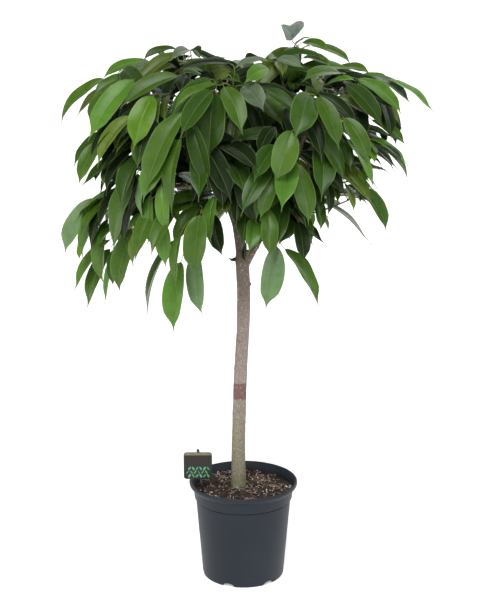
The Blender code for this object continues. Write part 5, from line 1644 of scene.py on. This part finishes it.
# %% Cuticle, underside and twig
# Greens by letter: L, M, D and K hold painted light and shade besides the leaves' own green, and P holds
# painted sheen
TONES = {
    "Y": ("#5B7F1B", "#4D7213"), "L": ("#487220", "#527826"), "M": ("#405D19", "#3B5A13"),
    "D": ("#2D4B10", "#2A4213"), "K": ("#16230D", "#1B2911"), "O": ("#44551A", "#54671E"),
    "G": ("#5E6954", "#56684C"), "P": ("#617E50", "#748D62"), "S": ("#939C90", "#88928A"),
}
VEIN_SPACING = 3.8 * MILLIMETRE
MIDRIB_WIDTH = 0.60 * MILLIMETRE
# where the painted sheen along the margin starts, as a share of the half width
MARGIN_SHEEN_FROM = 0.90
VEIN_SLANT, VEIN_WANDER = 0.42, 0.0022


def leaf_tissue(name, rough, sheen, lift, midrib_code):
    """One side of a leaf: its own tone, its veins, its gloss, and some light let through."""
    tree, shader, material = new_material(name)
    tone = add(tree, "ShaderNodeAttribute", attribute_name="tone")
    blade = add(tree, "ShaderNodeAttribute", attribute_name="blade")
    parts = add(tree, "ShaderNodeSeparateXYZ", {"Vector": blade.outputs["Vector"]})
    place = add(tree, "ShaderNodeTexCoord").outputs["Object"]
    cloud = add(tree, "ShaderNodeTexNoise", {"Vector": place, "Scale": 46.0, "Detail": 4.0})
    shade = add(tree, "ShaderNodeMapRange",
                {"Value": cloud, "From Min": 0.3, "From Max": 0.7, "To Min": 0.88, "To Max": 1.13})
    green = add(tree, "ShaderNodeMix",
                {0: 1.0, 6: tone, 7: shade}, data_type="RGBA", blend_type="MULTIPLY")
    # side veins: stripes that run forward from the midrib
    across = add(tree, "ShaderNodeMath", {0: parts.outputs["X"]}, operation="ABSOLUTE")
    slant = add(tree, "ShaderNodeMath",
                {0: across, 1: -VEIN_SLANT, 2: parts.outputs["Y"]}, operation="MULTIPLY_ADD")
    bend = add(tree, "ShaderNodeMath", {0: cloud, 1: VEIN_WANDER, 2: slant}, operation="MULTIPLY_ADD")
    wave = add(tree, "ShaderNodeMath", {0: bend, 1: math.tau / VEIN_SPACING}, operation="MULTIPLY")
    crest = add(tree, "ShaderNodeMath", {0: wave}, operation="COSINE")
    vein = add(tree, "ShaderNodeMapRange", {"Value": crest, "From Min": 0.4, "From Max": 1.0})
    rib = add(tree, "ShaderNodeMapRange",
              {"Value": across, "From Min": MIDRIB_WIDTH, "From Max": MIDRIB_WIDTH * 0.4})
    faint = add(tree, "ShaderNodeMath", {0: vein, 1: 0.11}, operation="MULTIPLY")
    # a thin pale line along the margin: painted sheen
    margin = add(tree, "ShaderNodeMapRange",
                 {"Value": parts.outputs["Z"], "From Min": MARGIN_SHEEN_FROM, "To Max": 1.0})
    edge = add(tree, "ShaderNodeMath", {0: faint, 1: margin}, operation="MAXIMUM")
    line = add(tree, "ShaderNodeMath", {0: edge, 1: rib}, operation="MAXIMUM")
    most = add(tree, "ShaderNodeMath", {0: line, 1: 0.36}, operation="MULTIPLY")
    final = add(tree, "ShaderNodeMix", {0: most, 6: green, 7: linear(midrib_code)}, data_type="RGBA")
    if lift:
        final = add(tree, "ShaderNodeMix", {0: lift, 6: final, 7: linear("#6F8458")}, data_type="RGBA")
    gloss = add(tree, "ShaderNodeMapRange",
                {"Value": cloud, "To Min": rough - 0.06, "To Max": rough + 0.08})
    # old leaves in the shade are dusty and shine less
    young = add(tree, "ShaderNodeSeparateColor", {"Color": tone})
    dust = add(tree, "ShaderNodeMapRange",
               {"Value": young.outputs["Green"], "From Min": 0.015, "From Max": 0.08,
                "To Min": sheen * 0.4, "To Max": sheen})
    cells = add(tree, "ShaderNodeTexNoise", {"Vector": place, "Scale": 900.0, "Detail": 2.0})
    relief = add(tree, "ShaderNodeMath", {0: cells, 1: 0.10, 2: crest}, operation="MULTIPLY_ADD")
    bump = add(tree, "ShaderNodeBump",
               {"Height": relief, "Strength": 0.8, "Distance": 0.08 * MILLIMETRE})
    set_inputs(shader, {"Base Color": final, "Roughness": gloss, "IOR": 1.45,
                        "Specular IOR Level": dust, "Normal": bump})
    # light that passes through comes out yellower
    through = add(tree, "ShaderNodeMix", {0: 0.5, 6: final, 7: linear("#6C8E14")}, data_type="RGBA")
    glow = add(tree, "ShaderNodeBsdfTranslucent", {"Color": through})
    both = add(tree, "ShaderNodeMixShader", {0: 0.14, 1: shader, 2: glow})
    output = next(node for node in tree.nodes if node.type == "OUTPUT_MATERIAL")
    set_inputs(output, {"Surface": both})
    return material


cuticle = leaf_tissue("waxy_leaf_cuticle", 0.27, 0.30, 0.0, "#8CA864")
underside = leaf_tissue("matt_leaf_underside", 0.60, 0.25, 0.30, "#9DB07A")
# young bark: green with a brown bloom, satin
twig_bark = toned("green_twig_bark", {"Scale": 260.0, "Detail": 4.0},
                  {"From Min": 0.3, "From Max": 0.7, "To Min": 0.7, "To Max": 1.25},
                  {"Roughness": 0.55}, {"Strength": 0.4, "Distance": 0.2 * MILLIMETRE})
LEAF_FINISHES = [cuticle, underside, twig_bark]
print("made", cuticle.name, underside.name, twig_bark.name)

# %% [markdown]
# The shape of a blade
#
# A blade is widest a little below its middle and runs out in a drip tip, which leads rain
# off. It is folded slightly along the midrib, its margin waves, and no two blades twist or
# bend alike. It is half a millimetre thick, with a groove above the midrib and a rib below.

# %% One fine leaf
BLADE_SHARES = (0.0, 0.03, 0.07, 0.12, 0.18, 0.25, 0.32, 0.40, 0.48,
                0.56, 0.64, 0.71, 0.77, 0.82, 0.86, 0.90, 0.94, 1.0)
BLADE_COLUMNS = (-1.0, -0.7, -0.35, -0.06, 0.0, 0.06, 0.35, 0.7, 1.0)
BLADE_THICKNESS = 0.5 * MILLIMETRE
GROOVE_DEPTH, RIB_DEPTH = 0.35 * MILLIMETRE, 0.8 * MILLIMETRE
LEAST_HALF = 0.35 * MILLIMETRE
WIDEST_AT, RISE_POWER, FALL_POWER = 0.45, 0.64, 0.86
DRIP_FROM, DRIP_TO, DRIP_NARROWING = 0.70, 0.96, 0.84
SLIM = 0.955
# The ranges of what differs from blade to blade: waves along the margin and their height,
# twist in degrees, sideways bend, cupping, the tip's curl, and how light its tone is
WAVES, WAVE_HEIGHTS = (1.4, 2.6), (0.02, 0.09)
TWISTS, SICKLES = (-16, 16), (-0.018, 0.018)
CUPS, CURLS = (0.24, 0.56), (-0.006, 0.006)
LIGHTNESS, TIP_LIGHTNESS = (0.85, 1.15), (0.85, 1.1)
# Where along the blade it doesn't twist and where the tip starts to curl, how much thinner
# the midrib gets, how much narrower the fold makes it, and how its halves differ
TWIST_FROM, CURL_FROM, THINNING, FOLDED_IN = 0.4, 0.75, 0.7, 0.98
BELLY, HALVES_APART = 0.14, 0.9
# The young leaf at the very top isn't unfolded yet, so its halves differ
young_leaf = leaves["leafy_shoot_23"][0]
YOUNG_SHARES = (0.0, 0.07, 0.18, 0.32, 0.40, 0.48, 0.56, 0.80, 1.0)
YOUNG_RIGHT = (0.03, 0.26, 0.42, 0.46, 0.43, 0.32, 0.11, 0.05, 0.01)
YOUNG_LEFT = (0.03, 0.10, 0.18, 0.22, 0.21, 0.19, 0.16, 0.08, 0.01)
PETIOLE_RADIUS, PETIOLE_SIDES, PETIOLE_STEPS = 1.1 * MILLIMETRE, 7, 8
PETIOLE_EASE, PETIOLE_AHEAD, PETIOLE_SINK = 0.42, 0.02, 0.003
PETIOLE_ENDS, PETIOLE_WAIST, PETIOLE_FLARE = 1.25, 0.35, 0.3
PETIOLE_TONE = "#66753A"
OFF_THE_MIDRIB = (0.004, 0.0, 0.0)


def eased(low, high, value):
    """A share that rises from 0 to 1 between two values, softly at both ends."""
    t = min(max((value - low) / (high - low), 0.0), 1.0)
    return t * t * (3 - 2 * t)


def blade_width(share):
    """Half width of a blade as a share of the widest half."""
    rise = (share / WIDEST_AT) ** RISE_POWER
    fall = ((1 - share) / (1 - WIDEST_AT)) ** FALL_POWER
    return SLIM * rise * fall * (1 - DRIP_NARROWING * eased(DRIP_FROM, DRIP_TO, share))


def young_half(u, share):
    """Half width of the young leaf at the top, as a share of its length, on one side."""
    return float(np.interp(share, YOUNG_SHARES, YOUNG_RIGHT if u > 0 else YOUNG_LEFT))


def fine_blade(leaf, draw):
    """Points, faces, materials and attributes of a blade, closed round its margin."""
    length = (leaf.tip - leaf.base).length
    waves, phase = draw.uniform(*WAVES), draw.uniform(0, math.tau)
    wave = draw.uniform(*WAVE_HEIGHTS)
    twist, sickle = math.radians(draw.uniform(*TWISTS)), draw.uniform(*SICKLES)
    cup, curl = draw.uniform(*CUPS), draw.uniform(*CURLS)
    first, second = (Vector(linear(code)) for code in TONES[leaf.tone])
    tone = first.lerp(second, draw.random()) * draw.uniform(*LIGHTNESS)
    tip_tone = tone * draw.uniform(*TIP_LIGHTNESS)
    upper, lower, fields, tones = [], [], [], []
    for share in BLADE_SHARES:
        point, along = leaf.spine(share)
        face, side = leaf.frame(along)
        turned = Quaternion(along, twist * (share - TWIST_FROM))
        face, side = turned @ face, turned @ side
        point = point + side * (sickle * length * math.sin(math.pi * share))
        point += face * (curl * eased(CURL_FROM, 1.0, share) ** 2)
        half = max(leaf.width / 2 * blade_width(share), LEAST_HALF)
        fine = 1 - THINNING * share
        for u in BLADE_COLUMNS:
            reach = abs(u)
            if leaf is young_leaf:
                half = length * young_half(u, share)
            turn = math.tau * waves * share + phase + (HALVES_APART if u > 0 else 0.0)
            ripple = wave * reach ** 2 * math.sin(turn)
            lift = half * (cup * reach - BELLY * reach ** 2 + ripple)
            spot = point + side * (u * half * FOLDED_IN) + face * lift
            groove, rib = (GROOVE_DEPTH * fine, RIB_DEPTH * fine) if u == 0.0 else (0.0, 0.0)
            thick = BLADE_THICKNESS / 2 if reach < 1.0 else 0.0
            upper.append(spot + face * (thick - groove))
            lower.append(spot - face * (thick + rib))
            fields.append((u * half, share * length, reach))
            tones.append(tone.lerp(tip_tone, share))
    columns, rows = len(BLADE_COLUMNS), len(BLADE_SHARES)
    edge = {0, columns - 1}
    under = {}
    points, blade, colours = list(upper), list(fields), list(tones)
    for k, spot in enumerate(lower):
        if k % columns in edge:
            under[k] = k
        else:
            under[k] = len(points)
            points.append(spot)
            blade.append(fields[k])
            colours.append(tones[k])
    faces, finish = [], []
    for row in range(rows - 1):
        for column in range(columns - 1):
            a = row * columns + column
            quad = (a, a + 1, a + columns + 1, a + columns)
            faces.append(quad)
            finish.append(0)
            faces.append(tuple(under[corner] for corner in reversed(quad)))
            finish.append(1)
    for row, order in ((0, 1), (rows - 1, -1)):
        first = row * columns
        ring = [first + k for k in range(columns)]
        ring += [under[first + k] for k in range(columns - 2, 0, -1)]
        faces.append(tuple(ring[::order]))
        finish.append(1)
    return points, faces, finish, blade, colours


def with_looks(shape, code, draw):
    """A twig-like shape with its colour, in the form that blades have."""
    points, faces = shape
    colour = Vector(linear(code)) * draw.uniform(*LIGHTNESS)
    count = len(points)
    return points, faces, [2] * len(faces), [OFF_THE_MIDRIB] * count, [colour] * count


def fine_petiole(leaf, twig, draw):
    """A bent stalk from the twig into the midrib."""
    start, heading = twig.bend(leaf.share), leaf.spine(0.0)[1]
    reach = (leaf.base - start).length * PETIOLE_EASE
    lead = (twig.bend(leaf.share + PETIOLE_AHEAD) - start).normalized()
    lead += (leaf.base - start).normalized()
    bends = (start, start + lead.normalized() * reach,
             leaf.base - heading * reach, leaf.base + heading * PETIOLE_SINK)
    shares = [k / (PETIOLE_STEPS - 1) for k in range(PETIOLE_STEPS)]
    # thicker at both ends than in its middle
    radii = [PETIOLE_RADIUS * (PETIOLE_ENDS - PETIOLE_WAIST * eased(0.0, PETIOLE_FLARE, share)
                               - PETIOLE_WAIST * eased(1 - PETIOLE_FLARE, 1.0, share))
             for share in shares]
    run = [cubic(bends, share) for share in shares]
    return with_looks(tube(rings_of(run, radii, PETIOLE_SIDES)), PETIOLE_TONE, draw)


# %% One fine twig with its bud
TWIG_STEPS, TWIG_ROUND = 16, 9
TWIG_SINK, TWIG_FOOT = 0.004, 1.15
NODE_EVERY, NODE_SWELL, NODE_REST = 3, 1.12, 0.96
BUD_LENGTH, BUD_RADIUS = 0.013, 1.9 * MILLIMETRE
BUD_FORM = (0.75, 1.0, 0.92, 0.72, 0.48, 0.22)
TWIG_TONES, BUD_TONES = ("#6B5F49", "#5D5A3C", "#746B52"), ("#7A4A34", "#8A9A4C", "#6E5A34")


def fine_twig(twig, draw):
    """The twig as a round bent shoot, with a slightly swollen node where each leaf leaves."""
    run = [twig.run[0] - twig.out * TWIG_SINK]
    run += [twig.bend(k / (TWIG_STEPS - 1)) for k in range(TWIG_STEPS)]
    radii = [TWIG_ROOT * TWIG_FOOT]
    for k in range(TWIG_STEPS):
        share = k / (TWIG_STEPS - 1)
        swell = NODE_SWELL if k % NODE_EVERY == 1 else NODE_REST
        radii.append((TWIG_ROOT + (TWIG_TIP - TWIG_ROOT) * share ** TWIG_TAPER) * swell)
    return with_looks(tube(rings_of(run, radii, TWIG_ROUND)), draw.choice(TWIG_TONES), draw)


def fine_bud(twig, draw):
    """The pointed sheath that holds the next leaf."""
    ahead = (twig.bend(1.0) - twig.bend(0.95)).normalized()
    steps = len(BUD_FORM)
    run = [twig.bend(1.0) + ahead * BUD_LENGTH * k / steps for k in range(steps)]
    radii = [BUD_RADIUS * share for share in BUD_FORM]
    return with_looks(tube(rings_of(run, radii, TWIG_ROUND), run[-1] + ahead * BUD_LENGTH / 5),
                      draw.choice(BUD_TONES), draw)


# %% Further leaves inside the crown
FILLERS = 2
FILLER_PART = (0.15, 0.98)
FILLER_FIRST, FILLER_SLOTS = 10, 13
# The pixels that are looked at, row by row, and how far behind the front a leaf may hang
SIGHT_ROWS, SIGHT_COLUMNS, SIGHT_STEP = (60, 290), (64, 432), 4
SIGHT_BEHIND = (0.06, 0.10, 0.15, 0.20)
SIGHT_REACH = 0.085
SIGHT_SHARES, ABOVE_COST = (0.3, 0.5, 0.7, 0.9), 0.4
SIGHT_TRIES, SIGHT_TWIGS = 16, 8
# the leaves that close open lines of sight are mostly darK: painted shade deep in the crown
SIGHT_TONES = "KKKDKKO"
HANG_DOWN, HANG_LENGTHS, HANG_TO_EYE = (0.1, 0.6), (0.75, 1.0), (0.0, 0.8)


def add_fillers():
    """Leaves by the same rule that only the finer crown has, most of them in the shade."""
    count = 0
    for k in range(FILLERS):
        for name, twig in twigs.items():
            leaf = rule_leaf(
                crowd, name, own[name], twig, FILLER_FIRST + k, FILLER_SLOTS, FILLER_PART)
            if leaf:
                leaves[name].append(leaf)
                count += 1
    return count


def solids_in(names):
    """One search tree for all the leaves of the named shoots."""
    shapes = [leaf.mesh(0.0, False) for name in names for leaf in leaves[name]]
    return BVHTree.FromPolygons(*joined(shapes))


def hung_leaf(root, middle, draw):
    """A leaf that hangs from a twig so that the middle of its blade comes to a place."""
    heading = ((middle - root).normalized() - UP * draw.uniform(*HANG_DOWN)).normalized()
    length = draw.uniform(*RULE_LENGTHS) * draw.uniform(*HANG_LENGTHS)
    base = middle - heading * length * 0.5
    out = Vector((middle.x, middle.y, 0.0)).normalized()
    to_eye = Vector((0.0, -draw.uniform(*HANG_TO_EYE), 0.0))
    face = square_to(heading, UP * FACE_UP + out * FACE_OUT + to_eye)
    tone = draw.choice(SIGHT_TONES)
    return Leaf(base, base + heading * length, length * SLENDERNESS, face, tone=tone)


def fill_sight(x, y):
    """Hangs a leaf across a line of sight on which the crown is still open."""
    draw = random.Random(f"{SEED} sight {x} {y}")
    options = []
    for behind in SIGHT_BEHIND:
        depth = shell_depth(x, y, 0) + behind
        middle = seen(x, y, depth)
        for name, twig in twigs.items():
            for share in SIGHT_SHARES:
                gap = middle - twig.at(share)
                cost = abs(gap.length - SIGHT_REACH) + ABOVE_COST * max(gap.z, 0.0)
                options.append((cost, name, share, depth))
    for cost, name, share, depth in sorted(options)[:SIGHT_TWIGS]:
        twig = twigs[name]
        leaf = hung_leaf(twig.at(share), seen(x, y, depth), draw)
        kept = place_leaf(crowd, name, own[name], twig, leaf, draw, SIGHT_TRIES, True, True)
        if kept:
            leaves[name].append(kept)
            return kept
    return None


def fill_open_sights():
    """Goes over the crown as the eye sees it and closes the places that let light through."""
    whole, added = solids_in(twigs), []
    for y in range(*SIGHT_ROWS, SIGHT_STEP):
        for x in range(*SIGHT_COLUMNS, SIGHT_STEP):
            if not within(DENSE, x, y):
                continue
            ray = (seen(x, y, 0.0) - EYE).normalized()
            if whole.ray_cast(EYE, ray)[0] or any(tree.ray_cast(EYE, ray)[0] for tree in added):
                continue
            leaf = fill_sight(x, y)
            if leaf:
                added.append(BVHTree.FromPolygons(*leaf.mesh(0.0, False)))
    return len(added)


planned = {name: len(kept) for name, kept in leaves.items()}
print("leaves added by rule:", add_fillers())
print("leaves added across open lines of sight:", fill_open_sights())

# %% Tones put right
# Some leaves came to lie elsewhere than planned, so they look as their new place does
SEEN_TONES = {
    2: "M....", 3: "..M......M", 4: "...D", 6: "O", 8: "....M", 9: "......D", 10: ".....M", 11: "L.M.",
    12: "...D.D", 14: "M", 15: "..L..P", 18: "..L", 19: "M", 21: ".MD", 22: ".......M..D....MDD", 23: "S",
    24: ".....G", 26: "....D..D", 27: ".M.......DD", 35: "K", 40: ".........D",
}
for shoot, letters in SEEN_TONES.items():
    for leaf, letter in zip(leaves[f"leafy_shoot_{shoot:02d}"], letters):
        if letter != ".":
            leaf.tone = letter
print("tones put right:", sum(letter != "." for letters in SEEN_TONES.values() for letter in letters))

# %% Leaves seen on edge
LEAST_SLANT = 0.24


def slant(leaf):
    """How squarely a blade faces the eye, 0 when it is seen on edge."""
    middle, along = leaf.spine(0.5)
    return abs((middle - EYE).normalized().dot(leaf.frame(along)[0]))


# The planned leaves stay, and of those added here the ones seen on edge would only glare
for name, kept in leaves.items():
    count = planned[name]
    leaves[name] = kept[:count] + [leaf for leaf in kept[count:] if slant(leaf) > LEAST_SLANT]
print("leaves kept:", sum(map(len, leaves.values())))

# %% Fine shoots
# Beside the young leaf a red-brown sheath opens over the newest leaf, in pixels
SHEATH = ((294.0, 47.0), (296.5, 42.5), (300.0, 40.0), (303.5, 39.0))
SHEATH_RADII = (1.0 * MILLIMETRE, 2.0 * MILLIMETRE, 1.8 * MILLIMETRE, 0.5 * MILLIMETRE)
NEWEST, NEWEST_WIDTH = ((300.0, 39.5), (312.0, 38.5)), 5.0 * MILLIMETRE
NEWEST_FACE = Vector((0.2, -0.6, 0.8))
SHEATH_SIDES = 8
triangles = 0
for index, (name, twig) in enumerate(twigs.items(), 1):
    draw = random.Random(f"fine {name}")
    shapes = [fine_twig(twig, draw), fine_bud(twig, draw)]
    for leaf in leaves[name]:
        shapes += [fine_petiole(leaf, twig, draw), fine_blade(leaf, draw)]
    if young_leaf in leaves[name]:
        depth = young_leaf.base.y
        run = [seen(x, y, depth) for x, y in SHEATH]
        shapes.append(with_looks(tube(rings_of(run, SHEATH_RADII, SHEATH_SIDES)), BUD_TONES[0], draw))
        base, tip = (seen(*place, depth) for place in NEWEST)
        newest = Leaf(base, tip, NEWEST_WIDTH, NEWEST_FACE, tone="L")
        shapes.append(fine_blade(newest, draw))
    mesh = mesh_of(f"shoot_{index:02d}", *joined([(shape[0], shape[1]) for shape in shapes]))
    mesh.polygons.foreach_set("material_index", [slot for shape in shapes for slot in shape[2]])
    field = mesh.attributes.new("blade", "FLOAT_VECTOR", "POINT")
    fields = [spot for shape in shapes for spot in shape[3]]
    field.data.foreach_set("vector", np.array(fields, np.float32).ravel())
    coloured(mesh, [colour for shape in shapes for colour in shape[4]])
    shade_smooth(mesh, 65)
    new_piece(f"shoot_{index:02d}", mesh, LEAF_FINISHES, name)
    triangles += sum(len(face.vertices) - 2 for face in mesh.polygons)
print("shoots", len(twigs), "with", sum(map(len, leaves.values())), "leaves,", triangles, "triangles")
